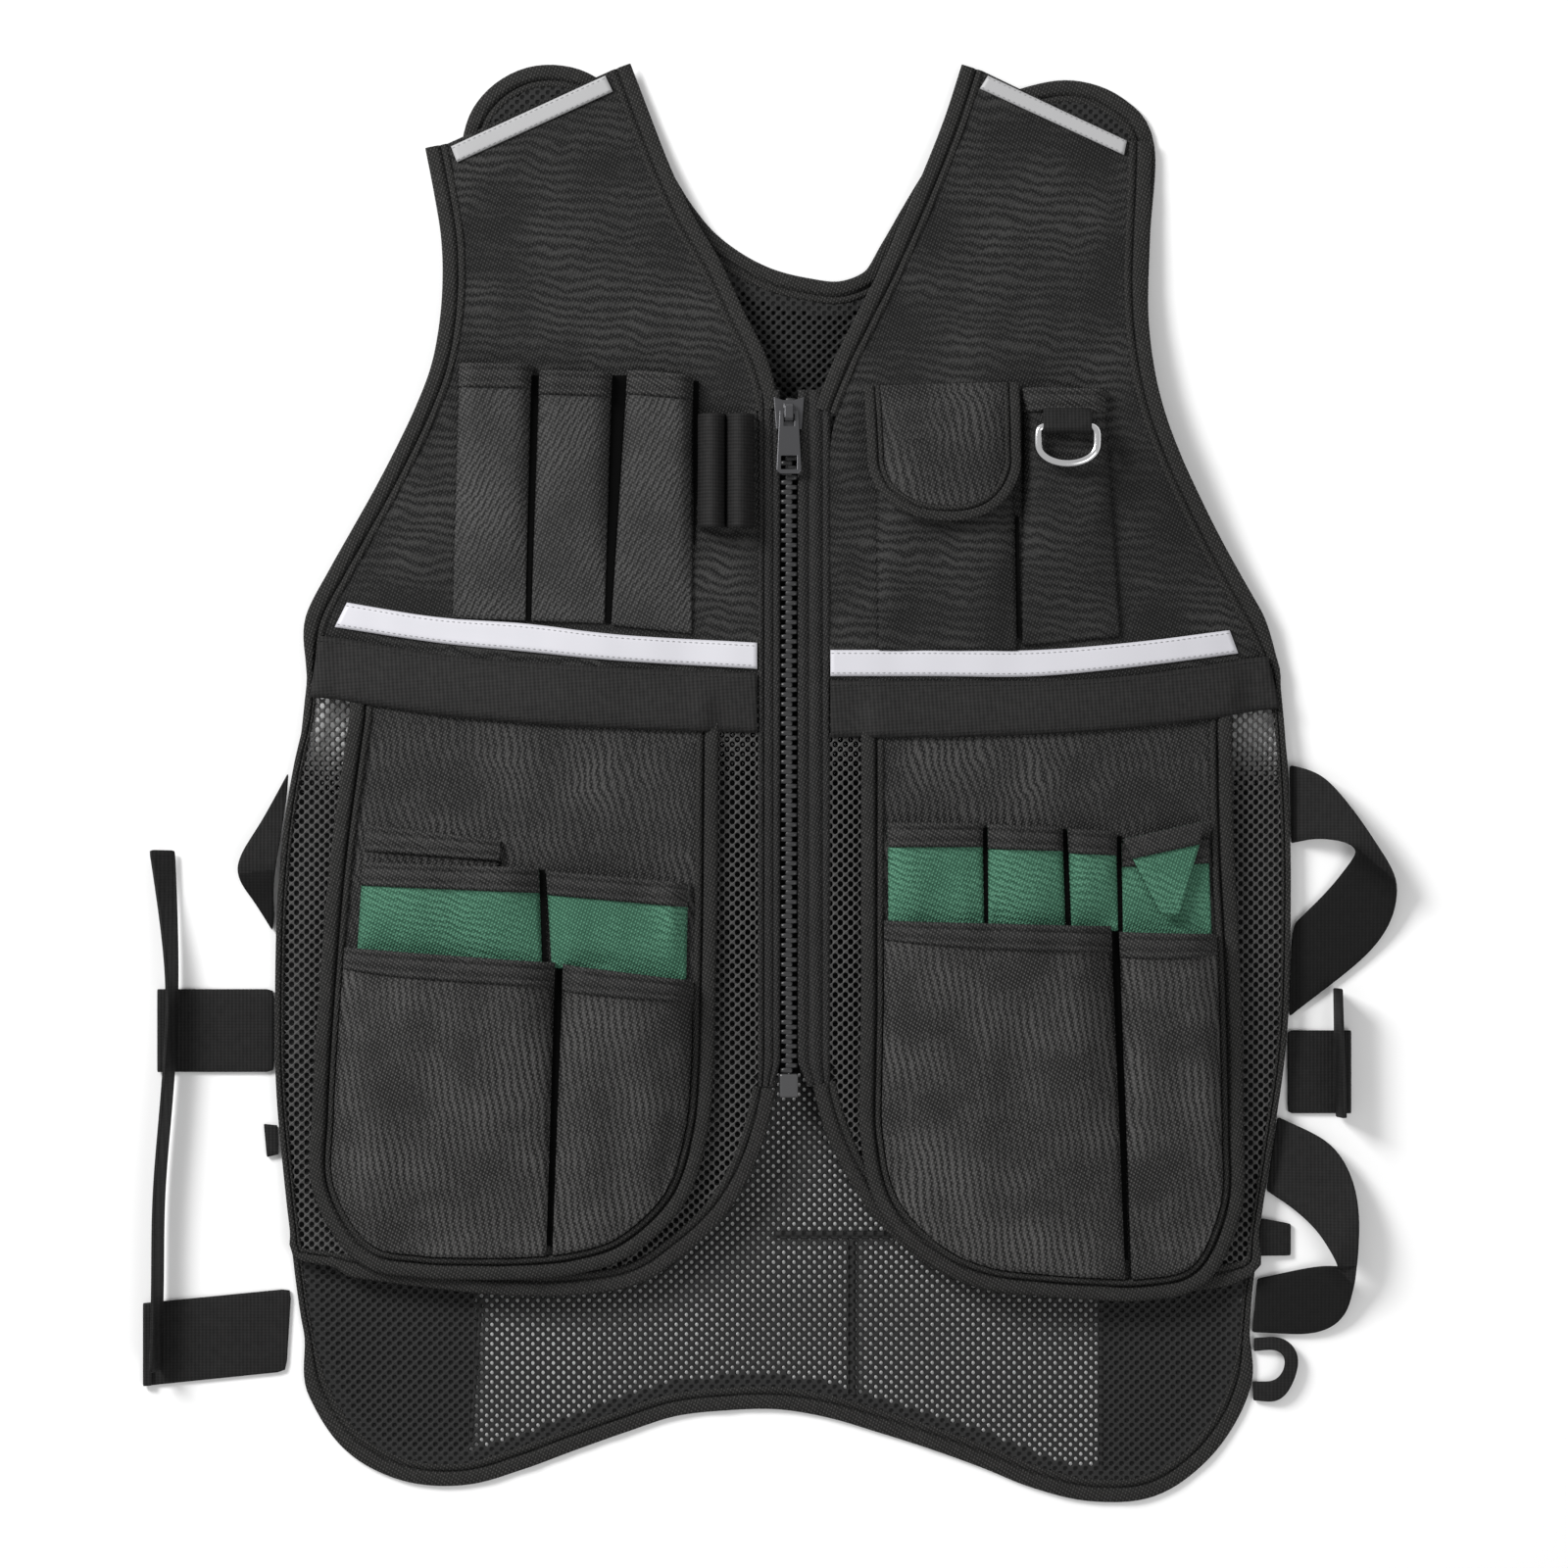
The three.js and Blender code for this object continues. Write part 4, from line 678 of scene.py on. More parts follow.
def net_piece(name, loop, ground, lift, material, hole_share=no_holes, grow=1.2):
    """Net up to grow past a loop. hole_share(points) says how large its holes are, 0 for none."""
    low, high = loop.min(0) - NET_MARGIN, loop.max(0) + NET_MARGIN
    first = np.floor(low / (NET_ACROSS, NET_UP))
    last = np.ceil(high / (NET_ACROSS, NET_UP))
    i, j = np.meshgrid(np.arange(first[0], last[0] + 1), np.arange(first[1], last[1] + 1))
    whole = np.column_stack([i.ravel() * NET_ACROSS, j.ravel() * NET_UP])
    half = whole + (NET_ACROSS / 2, NET_UP / 2)
    centres = np.vstack([whole, half])
    keep = inside(centres, loop) | (distance(centres, loop) < grow)
    centres = centres[keep]
    shares = hole_share(centres)
    cut = shares > 0
    diamond = np.array([(NET_ACROSS / 2, 0), (0, NET_UP / 2), (-NET_ACROSS / 2, 0), (0, -NET_UP / 2)])
    angles = np.arange(HOLE_CORNERS) * 2 * math.pi / HOLE_CORNERS
    hole = np.column_stack([np.cos(angles) * NET_HOLE_ACROSS, np.sin(angles) * NET_HOLE_UP])
    points, faces = [], []

    def level(flat, dip):
        z = ground(flat[:, 0], flat[:, 1]) + lift - dip
        return np.column_stack([flat, z])

    plain_centres = centres[~cut]
    if len(plain_centres):
        flat = (plain_centres[:, None] + diamond).reshape(-1, 2)
        points.append(level(flat, 0))
        faces += [tuple(range(k * 4, k * 4 + 4)) for k in range(len(plain_centres))]
    base = 4 * len(plain_centres)
    open_centres = centres[cut]
    if len(open_centres):
        outer = level((open_centres[:, None] + diamond).reshape(-1, 2), 0).reshape(-1, 4, 3)
        edge = open_centres[:, None] + hole * shares[cut][:, None, None]
        inner = level(edge.reshape(-1, 2), NET_DIP).reshape(-1, HOLE_CORNERS, 3)
        points.append(np.concatenate([outer, inner], 1).reshape(-1, 3))
        for k in range(len(open_centres)):
            at = base + (4 + HOLE_CORNERS) * k
            for q in range(4):
                ring = at + 4 + 2 * q
                faces.append((at + q, ring + 1, ring))
                faces.append((at + q, ring, at + 4 + (2 * q - 1) % HOLE_CORNERS))
                faces.append((at + q, at + (q + 1) % 4, ring + 1))
    return add_mesh(name, np.vstack(points), faces, material)


YOKES = ("front_yoke_left", "front_yoke_right")
FRONT_NETS = ("front_net_left", "front_net_right")
PANELS = ("pocket_panel_left", "pocket_panel_right")
outlines = {name: smooth_loop(outline(name)) for name in (
    "back_panel", *FRONT_NETS, *YOKES, "phone_pocket_flap")}
outlines.update({name: smooth_loop(outline(name), PANEL_SHARP_TURN) for name in PANELS})

# The top of each pocket panel is tucked up under the waist band
TUCK = 9.0
TOP_SIDE_HEIGHT = 1.0
for name in PANELS:
    loop = outlines[name]
    top_side = max(corner_sides(outline(name)), key=lambda part: part[:, 1].min())
    top_side = top_side[np.argsort(top_side[:, 0])]
    top_line = np.interp(loop[:, 0], top_side[:, 0], top_side[:, 1])
    loop[:, 1] += TUCK * (loop[:, 1] > top_line - TOP_SIDE_HEIGHT)


def covered(points, names, margin):
    """Whether points lie under one of the named pieces, at least margin inside its edge."""
    under = np.zeros(len(points), bool)
    for name in names:
        loop = outlines[name]
        gap = distance(points, loop)
        within = inside(points, loop)
        under |= np.where(within, gap, -gap) > margin
    return under


OPEN_TO_FLOOR_UP = 0.47
INNER_STRIP = 120
BESIDE_HOLE = 0.95
OUTER_HOLE = 1.7
INNER_HOLE = 0.9
FRONT_HOLE = 1.5
LEAST_HOLE = 0.3


def back_holes(points):
    """Cut where the back is seen past the fronts, and wider below the tops of their net strips."""
    up = share_up(points[:, 1])
    beside = ~covered(points, YOKES + FRONT_NETS, margin=-4) & (up < 0.9)
    beside &= distance(points, outlines["back_panel"]) > BINDING_WIDTH / 2
    strip_tops = ~covered(points, YOKES + PANELS, margin=-4) & (up < 0.6)
    outer = np.abs(points[:, 0]) > INNER_STRIP
    widest = np.where(outer, OUTER_HOLE, INNER_HOLE)
    wide = ramp(up, start=OPEN_TO_FLOOR_UP, span=0.07) * widest * strip_tops
    return np.where(wide > LEAST_HOLE, wide, np.where(beside, BESIDE_HOLE, 0.0))


def front_holes(points):
    return np.where(covered(points, PANELS, margin=-8), 0.0, FRONT_HOLE)


def back_height(x, y):
    ripple = 0.35 * noise_at(x, y, size=45, seed=1.0)
    return ripple + 0.3 * ramp(np.abs(x), start=60, span=60)


back_net_look = looks["back_net_cloth"]
back = net_piece("back_net", outlines["back_panel"], back_height, BACK_NET_LIFT, back_net_look,
                 back_holes)

# The outer thirds of the back are doubled by a second net under the first
DOUBLED_FROM = 0.62
DOUBLED_TOP = spot(0, 0.3)[1]
SECOND_NET_LIFT = 0.8
SECOND_LAYER = {"left": (-1.1, -DOUBLED_FROM), "right": (DOUBLED_FROM - 0.02, 1.1)}
doubled_loop = outlines["back_panel"]
for side, (near, far) in SECOND_LAYER.items():
    low_x, high_x = near * VEST_HALF_WIDTH, far * VEST_HALF_WIDTH
    kept = doubled_loop[(doubled_loop[:, 0] > low_x) & (doubled_loop[:, 0] < high_x)
                        & (doubled_loop[:, 1] < DOUBLED_TOP)]
    corner = (low_x if side == "right" else high_x, DOUBLED_TOP)
    steps = np.linalg.norm(np.diff(np.vstack([kept, kept[:1]]), axis=0), axis=1)
    kept = np.roll(kept, -(int(np.argmax(steps)) + 1), 0)
    second_net = net_piece(f"back_lining_{side}", np.vstack([kept, corner]), back_height,
                           SECOND_NET_LIFT, back_net_look, grow=0.5)
    declare_cloth(second_net)

# A dark sheet of the shade material under the net of the back's top: painted shade, so the holes there
# show dark
TOP_SHADE_FOOT = spot(0, 0.6)[1]
TOP_SHADE_LIFT = 0.4


def top_shade_height(x, y):
    return TOP_SHADE_LIFT + 0 * x


top_shade_loop = outlines["back_panel"]
top_shade_loop = np.column_stack([top_shade_loop[:, 0], np.maximum(top_shade_loop[:, 1], TOP_SHADE_FOOT)])
top_shade_loop = top_shade_loop[np.r_[True, np.linalg.norm(np.diff(top_shade_loop, axis=0), axis=1) > 0.5]]
top_shade = filled("top_shade_sheet", top_shade_loop, top_shade_height, looks["fold_shadow"], step=8.0)
declare_cloth(top_shade)

for side in ("left", "right"):
    net = net_piece(f"net_{side}", outlines[f"front_net_{side}"], front_ground, FRONT_NET_LIFT,
                    looks["side_net"], front_holes)
    declare_cloth(net, [f"front_net_{side}"])


# Yokes and pocket panels

def yoke_height(x, y):
    crumple = 0.6 * noise_at(x * 0.6, y * 1.8, size=26, seed=8.0)
    return front_ground(x, y) + CLOTH + crumple


def panel_height(x, y):
    swell = 0.9 * noise_at(x * 1.3, y * 0.7, size=42, seed=4.0)
    return front_ground(x, y) + PANEL_LIFT + CLOTH + swell


front_cloths = {}
for side in ("left", "right"):
    for kind, height, look in (("front_yoke", yoke_height, looks["yoke_cloth"]),
                               ("pocket_panel", panel_height, looks["panel_cloth"])):
        node = f"{kind}_{side}"
        front_cloths[node] = filled(f"{kind.split('_')[1]}_{side}", outlines[node], height, look)


# Bindings

SUNK_SHARE = 0.5
SUNK_REACH = 16.0


def tape_widths(path, side_foot):
    """Binding widths along a path: narrower at the vest's sides, from side_foot up."""
    up = share_up(path[:, 1])
    near_side = ramp(up, start=side_foot, span=0.04) * (1 - ramp(up, start=0.56, span=0.05))
    outer = ramp(np.abs(path[:, 0]) / VEST_HALF_WIDTH, start=0.85, span=0.04)
    return BINDING_WIDTH + (SIDE_BINDING_WIDTH - BINDING_WIDTH) * near_side * outer


def sunk_ends(path):
    """Shares of a height that fall off over the last millimetres of a path."""
    lengths = lengths_along(path)
    from_end = np.minimum(lengths, lengths[-1] - lengths)
    return 1 - SUNK_SHARE * (1 - smooth(from_end / SUNK_REACH))


def bind(name, path, widths, side, node, ground=front_ground, lift=0.0, height=BINDING_HEIGHT,
         closed=False, profile=EDGE_PROFILE, stitch_reach=0.34, look="binding_cloth"):
    """A folded tape along a path, with its row of stitches. side is 1 to the left of the path."""
    widths = widths * np.ones(len(path))
    base = ground(path[:, 0], path[:, 1]) + lift
    tape = swept(name, path, widths, base, height, side, looks[look], closed, profile)
    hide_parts(node)
    outward = outward_of(path, closed, side)
    flat = path + outward * (CLEARANCE + stitch_reach * widths)[:, None]
    stitched(np.column_stack([flat, base + 0.5 * height]))


back_path = outlines["back_panel"]
bind("back_edge", back_path, tape_widths(back_path, side_foot=0.08), -1, "back_binding",
     ground=back_ground, closed=True)

# Seams and pressed creases of the lower back
SEAM_LIFT = 1.2
SEAM_STEPS = 40
SEAM_COLUMNS = ("across", "up", "to_across", "to_up", "wide", "high")
SEAM_ROWS = [
    (0.112, 0.181, 0.112, 0.074, 4.0, 0.9),
    (-0.03, 0.1815, 0.375, 0.1815, 3.0, 0.8),
    (-0.612, 0.14, -0.633, 0.042, 2.4, 0.5),
    (0.604, 0.14, 0.604, 0.02, 2.4, 0.5),
]
for k, seam in enumerate(named_rows(SEAM_COLUMNS, SEAM_ROWS)):
    seam_ends = [spot(seam["across"], seam["up"]), spot(seam["to_across"], seam["to_up"])]
    seam_line = evenly(np.array(seam_ends), SEAM_STEPS)
    seam_base = back_height(seam_line[:, 0], seam_line[:, 1]) + SEAM_LIFT
    seam_widths = np.full(len(seam_line), seam["wide"])
    seam_tape = swept(f"back_seam_{k + 1}", seam_line, seam_widths, seam_base, seam["high"], 1,
                      back_net_look)
declare_cloth(back, ["back_panel"])

# Bindings of the fronts, from the zip's foot round to the neck
ZIP_TOP_UP = 0.762
ZIP_END_UP = 0.297
NECK_OVERLAP_UP = 0.008
PLACKET_OVERLAP_UP = 0.005
PLACKET_FOOT = 6.0
PLACKET_STEPS = 90
PLACKET_FOOT_SHARE = 0.7
PLACKET_GAIN = 0.3
HALF_CHAIN = 4.4
PANEL_BINDING_LIFT = PANEL_LIFT - 1.0
EDGE_POINTS = 1.1
FRONT_PLACES = {
    "left": {"edge": -0.06, "waist": spot(-0.921, 0.575), "shoulder": spot(-0.669, 0.938),
             "neck": spot(-0.352, 0.988), "ccw": False},
    "right": {"edge": 0.079, "waist": spot(0.942, 0.572), "shoulder": spot(0.667, 0.94),
              "neck": spot(0.381, 0.988), "ccw": True},
}
for side, at in FRONT_PLACES.items():
    net_loop = outlines[f"front_net_{side}"]
    yoke_loop = outlines[f"front_yoke_{side}"]
    outward_side = 1 if side == "left" else -1
    zip_end = spot(at["edge"], ZIP_END_UP) - (0, BINDING_WIDTH / 2)
    lower = section(net_loop, zip_end, at["waist"], at["ccw"])
    upper = section(yoke_loop, at["waist"], at["shoulder"], at["ccw"])
    whole = evenly(np.vstack([lower, upper[1:]]), int((len(lower) + len(upper)) * EDGE_POINTS))
    bind(f"front_edge_{side}", whole, tape_widths(whole, side_foot=0.15), outward_side,
         f"front_binding_{side}")
    neck_foot = spot(at["edge"], ZIP_TOP_UP - NECK_OVERLAP_UP)
    neck = section(yoke_loop, neck_foot, at["neck"], not at["ccw"])
    bind(f"neck_edge_{side}", neck, BINDING_WIDTH, -outward_side, f"neck_binding_{side}")
    start = spot(at["edge"], ZIP_END_UP) - (0, PLACKET_FOOT)
    end = spot(at["edge"], ZIP_TOP_UP + PLACKET_OVERLAP_UP)
    placket = evenly(np.array([start, end]), PLACKET_STEPS)
    to_chain = abs(at["edge"]) * VEST_HALF_WIDTH - HALF_CHAIN
    from_foot = ramp(placket[:, 1], start=start[1], span=2 * PLACKET_FOOT)
    placket_widths = to_chain * (PLACKET_FOOT_SHARE + PLACKET_GAIN * from_foot)
    bind(f"placket_{side}", placket, placket_widths, -outward_side, f"zip_tape_{side}",
         profile=PLACKET_PROFILE, stitch_reach=0.22, look="placket_cloth")
    panel_loop = outlines[f"pocket_panel_{side}"]
    around = section(panel_loop, *top_corners(panel_loop), True)
    around = evenly(around, len(around))
    bind(f"panel_edge_{side}", around, BINDING_WIDTH, -1, f"pocket_panel_binding_{side}",
         lift=PANEL_BINDING_LIFT, height=PANEL_BINDING_HEIGHT * sunk_ends(around))


# Flat bands across the fronts

OVER_PANELS = 3.4
PANEL_APPROACH = 12
LIFT_SPAN = 10
BAND_THICKNESS = 0.8
TURNED_OVER_LIFT = 2.0


def over_panels(x):
    """How far a band is lifted where it crosses a pocket panel's tucked top."""
    lift = 0.0 * x
    for name in PANELS:
        left = outlines[name][:, 0].min() - PANEL_APPROACH
        right = outlines[name][:, 0].max() + PANEL_APPROACH
        lift += smooth((x - left) / LIFT_SPAN) * smooth((right - x) / LIFT_SPAN)
    return OVER_PANELS * lift


def band(name, node, lift, look, slot, columns, rows, crinkle, reach):
    """A flat strip, stitched down along both its edges. Its outer end reaches over the binding."""
    grid = four_sides(node, columns, rows)
    u = np.linspace(0, 1, columns + 1)[None, :]
    v = np.linspace(0, 1, rows + 1)[:, None]
    outer = 1 - u if grid[0, 0, 0] < -100 else u
    over = ramp(outer, start=0.965, span=0.035)
    grid[..., 0] += np.sign(grid[..., 0]) * reach * over
    z = front_ground(grid[..., 0], grid[..., 1]) + lift
    z += over * (TURNED_OVER_LIFT if reach else 0)
    z += crinkle * noise_at(grid[..., 0], grid[..., 1] * 0.2, size=14, seed=2.0)
    if reach:
        z += over_panels(grid[..., 0]) * smooth((1 - v) / 0.8)
    z -= 0.5 * (np.minimum(v, 1 - v) < 0.001)
    obj = gridded(name, grid, z, looks[look])
    thicken(obj, BAND_THICKNESS)
    declare_cloth(obj, [node])
    for row in (1, rows - 1):
        stitched(np.column_stack([grid[row], z[row] + ON_TOP]), dark_rows if reach else light_rows)


BAND_COLUMNS = ("name", "node", "lift", "look", "slot", "columns", "rows", "crinkle", "reach")
BAND_ROWS = [
    ("chest_strip_", "chest_reflector_", ON_CLOTH + 1.0, "reflector", "reflective", 90, 8, 0.35, 0.0),
    ("shoulder_strip_", "shoulder_reflector_", ON_CLOTH + 1.0, "shoulder_reflector", "reflective",
     40, 8, 0.1, 0.0),
    ("waist_band_", "waist_webbing_", ON_CLOTH + 1.6, "band_cloth", "webbing", 110, 12, 0.3, 4.0),
]
for side in ("left", "right"):
    for row in named_rows(BAND_COLUMNS, BAND_ROWS):
        row["name"] += side
        row["node"] += side
        band(**row)


# Pockets

KIND_COLUMNS = ("kind", "lift", "depth", "foot_reach", "dent_share", "look")
KIND_ROWS = [
    ("pen", 1.6, 8, 1.8, 0.22, "pen_cloth"),
    ("phone", 1.6, 8, 4.0, 0.22, "yoke_cloth"),
    ("pencil", 1.6, 7, 3.0, 0.22, "yoke_cloth"),
    ("spare", 4.6, 1.6, 0, 0.22, "panel_cloth"),
    ("green", 4.6, 7, 0, 0.5, "green_cloth"),
    ("cargo", 6.2, 12, 0, 0.32, "cargo_cloth"),
]
KINDS = {row["kind"]: row for row in named_rows(KIND_COLUMNS, KIND_ROWS)}
HEM_PROFILE = [
    (-0.03, -0.9), (-0.02, 0.3), (0.03, 0.95), (0.13, 1.0), (0.2, 0.4), (0.25, 0.4), (0.32, 0.95),
    (0.58, 0.95), (0.68, 0.4), (0.74, 0.4), (0.81, 1.15), (0.9, 1.1), (0.98, 0.5), (1.0, -0.3),
]
HEM_GROOVES = (5, 9)
MOUTH_REACH = 1.6
SPARE_CORNERS = [spot(-0.83, 0.436), spot(-0.567, 0.432), spot(-0.562, 0.457), spot(-0.827, 0.468)]


def pocket_bulge(u, v):
    """How far a pocket's wall stands out, from 0 to 1; u runs across and v up."""
    return (1 - np.abs(2 * u - 1) ** 5) * smooth(0.15 + 0.95 * v) * smooth(v / 0.25)


def nearest(loop, point):
    return loop[np.argmin(np.linalg.norm(loop - point, axis=1))]


def cargo_grid(node, columns, rows):
    """A cargo pocket, whose outer side and foot run along its panel's edge."""
    plain_grid = four_sides(node, 4, 4)
    foot_left, foot_right = plain_grid[0, 0], plain_grid[0, -1]
    mouth_left, mouth_right = plain_grid[-1, 0], plain_grid[-1, -1]
    loop = outlines["pocket_panel_" + node.split("_")[2]]
    foot_left, foot_right = nearest(loop, foot_left), nearest(loop, foot_right)
    bottom = section(loop, foot_left, foot_right, True)
    if node.endswith("1"):
        left = section(loop, nearest(loop, mouth_left), foot_left, True)[::-1]
        right = np.array([foot_right, mouth_right + (MOUTH_REACH, 0)])
    else:
        left = np.array([foot_left, mouth_left - (MOUTH_REACH, 0)])
        right = section(loop, foot_right, nearest(loop, mouth_right), True)
    top = np.array([left[-1], right[-1]])
    return patched(bottom, right, top, left, columns, rows)


POCKET_COLUMNS = 36
POCKET_ROWS = 56


def pocket_hem(node, grid, z):
    """The turned edge round a pocket's mouth, with its two rows of stitches."""
    rows, columns = POCKET_ROWS, POCKET_COLUMNS
    tall = float(np.mean(grid[-1, :, 1] - grid[0, :, 1]))
    hem_points = []
    for down, rise in HEM_PROFILE:
        at = (1 - max(down, 0) * HEM_DEPTH / tall) * rows
        row = min(int(at), rows - 1)
        share = at - row
        flat = grid[row] * (1 - share) + grid[row + 1] * share
        top = z[row] * (1 - share) + z[row + 1] * share
        flat = flat + (0, max(-down, 0) * HEM_DEPTH)
        hem_points.append(np.column_stack([flat, top + rise * HEM_RISE]))
    hem_points = np.array(hem_points)
    faces = [face[::-1] for face in grid_faces(len(HEM_PROFILE) - 1, columns)]
    hem = add_mesh(node + "_hem", hem_points.reshape(-1, 3), faces, looks["hem_cloth"])
    declare_cloth(hem)
    for groove in HEM_GROOVES:
        stitched(hem_points[groove] + (0, 0, ON_TOP))


def pocket(node):
    """A pocket's wall over its solid, and its hem."""
    rows, columns = POCKET_ROWS, POCKET_COLUMNS
    kind = node.split("_")[0]
    row = KINDS[kind]
    depth = KINDS["spare" if node == "green_pocket_right_4" else kind]["depth"]
    if kind == "cargo":
        grid = cargo_grid(node, columns, rows)
    elif kind == "spare":
        a, b, c, d = SPARE_CORNERS
        grid = patched(np.array([a, b]), np.array([b, c]), np.array([d, c]), np.array([a, d]),
                       columns, rows)
    else:
        grid = four_sides(node, columns, rows)
        grid[..., 1] -= row["foot_reach"] * (1 - np.linspace(0, 1, rows + 1)[:, None])
    u = np.linspace(0, 1, columns + 1)[None, :]
    v = np.linspace(0, 1, rows + 1)[:, None]
    x, y = grid[..., 0], grid[..., 1]
    soft = smooth(np.minimum(u, 1 - u) / 0.15) * smooth(v / 0.1)
    dent = row["dent_share"] * depth * noise_at(x * 1.5, y * 0.5, size=30, seed=float(len(node)))
    z = front_ground(x, y) + row["lift"] + CLOTH + depth * pocket_bulge(u, v) + soft * dent
    wall = gridded(node.replace("pocket", "wall"), grid, z, looks[row["look"]])
    thicken(wall, CLOTH)
    declare_cloth(wall, [node])
    pocket_hem(node, grid, z)


for node in sorted(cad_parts):
    is_pocket = node.split("_")[0] in KINDS and "pocket" in node
    if is_pocket and "flap" not in node:
        pocket(node)

# Painted shade in the inner folds between neighbouring pockets: dark strips of the shade material, each
# from its top to its foot
FOLD_STEPS = 24
PANEL_FOLD_LIFT = PANEL_LIFT + 1.2
YOKE_FOLD_LIFT = 0.8
FOLD_COLUMNS = ("cloth", "top_across", "top_up", "foot_across", "foot_up", "top_wide", "foot_wide")
FOLD_ROWS = [
    ("front_yoke_left", -0.498, 0.777, -0.508, 0.608, 5.5, 1.6),
    ("front_yoke_left", -0.331, 0.777, -0.353, 0.606, 6.6, 1.8),
    ("front_yoke_left", -0.181, 0.773, -0.184, 0.66, 2.6, 0.6),
    ("front_yoke_right", 0.445, 0.68, 0.449, 0.596, 1.6, 1.4),
    ("pocket_panel_left", -0.482, 0.437, -0.474, 0.365, 3.0, 1.4),
    ("pocket_panel_left", -0.451, 0.371, -0.468, 0.178, 6.0, 1.8),
    ("pocket_panel_right", 0.382, 0.466, 0.385, 0.39, 2.0, 0.9),
    ("pocket_panel_right", 0.538, 0.465, 0.545, 0.39, 2.2, 1.0),
    ("pocket_panel_right", 0.644, 0.46, 0.646, 0.39, 2.2, 1.0),
    ("pocket_panel_right", 0.636, 0.396, 0.659, 0.168, 5.2, 1.8),
]
fold_shade_strips = {node: [] for node in front_cloths}
for k, fold in enumerate(named_rows(FOLD_COLUMNS, FOLD_ROWS)):
    fold_top = spot(fold["top_across"], fold["top_up"])
    fold_foot = spot(fold["foot_across"], fold["foot_up"])
    fold_lift = CLOTH + (PANEL_FOLD_LIFT if fold["cloth"] in PANELS else YOKE_FOLD_LIFT)
    fold_line = evenly(np.array([fold_foot, fold_top]), FOLD_STEPS)
    wide = np.linspace(fold["foot_wide"], fold["top_wide"], FOLD_STEPS + 1)[:, None] / 2
    fold_grid = np.stack([fold_line - wide * (1, 0), fold_line, fold_line + wide * (1, 0)], 1)
    fold_z = front_ground(fold_grid[..., 0], fold_grid[..., 1]) + fold_lift
    fold_shade_strip = gridded(f"fold_shade_strip_{k + 1}", fold_grid, fold_z, looks["fold_shadow"])
    fold_shade_strips[fold["cloth"]].append(fold_shade_strip)
for node, cloth in front_cloths.items():
    declare_cloth(cloth, [node])

# The folded corner of the fourth green pocket
CORNER_LIFT = 9.6
CORNER_DROOP = 1.2
CORNER_STEPS = 16
CORNER_HEM_FROM = 12
CORNER_HEM_LIFT = 0.9
CORNER_HEM_THICKNESS = 1.0
corner_grid = four_sides("folded_green_corner", CORNER_STEPS, CORNER_STEPS)
corner_x, corner_y = corner_grid[..., 0], corner_grid[..., 1]
corner_z = front_ground(corner_x, corner_y) + CORNER_LIFT + CORNER_DROOP * smooth((-20 - corner_y) / 25)
folded = gridded("folded_corner", corner_grid, corner_z, looks["green_cloth"])
thicken(folded, CLOTH)
declare_cloth(folded, ["folded_green_corner"])
corner_hem = gridded("folded_corner_hem", corner_grid[CORNER_HEM_FROM:],
                     corner_z[CORNER_HEM_FROM:] + CORNER_HEM_LIFT, looks["hem_cloth"])
thicken(corner_hem, CORNER_HEM_THICKNESS)
declare_cloth(corner_hem)

# Flap over the phone pocket
FLAP_RISE = 10.6
FLAP_TOP = spot(0, 0.771)[1]
FLAP_FOOT = spot(0, 0.687)[1]
FLAP_LEFT, FLAP_RIGHT = spot(0.178, 0)[0], spot(0.42, 0)[0]
FLAP_BINDING_WIDTH = 7.0


def flap_height(x, y):
    u = np.clip((x - FLAP_LEFT) / (FLAP_RIGHT - FLAP_LEFT), 0, 1)
    down = (FLAP_TOP - y) / (FLAP_TOP - FLAP_FOOT)
    rise = FLAP_RISE * smooth(down / 0.22) * (0.6 + 0.4 * (1 - (2 * u - 1) ** 4))
    return front_ground(x, y) + ON_CLOTH + rise


flap_loop = outlines["phone_pocket_flap"]
flap = filled("flap", flap_loop, lambda x, y: flap_height(x, y) + CLOTH, looks["panel_cloth"], step=2.0)
declare_cloth(flap, ["phone_pocket_flap"])
flap_path = section(flap_loop, *top_corners(flap_loop), True)
flap_path = evenly(flap_path, len(flap_path) * 2)
bind("flap_edge", flap_path, FLAP_BINDING_WIDTH, -1, "flap_binding", ground=flap_height)


# Straps and the like: the solids' own strips, rounded and made finer

CREASE = 0.85
NEARLY_FLAT = 0.7
ANY_SHAPE = 3.1


def solid_copy(name, node):
    """An object with its own copy of a solid's mesh, which is handed out for editing, doubles joined."""
    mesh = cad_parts[node].data.copy()
    obj = bpy.data.objects.new(name, mesh)
    bpy.context.scene.collection.objects.link(obj)
    work = bmesh.new()
    work.from_mesh(mesh)
    bmesh.ops.remove_doubles(work, verts=work.verts, dist=SAME_POINT * MM)
    return obj, mesh, work


def dress(mesh, look, rounded):
    mesh.materials.clear()
    mesh.materials.append(looks[look])
    mesh.polygons.foreach_set("use_smooth", [rounded] * len(mesh.polygons))


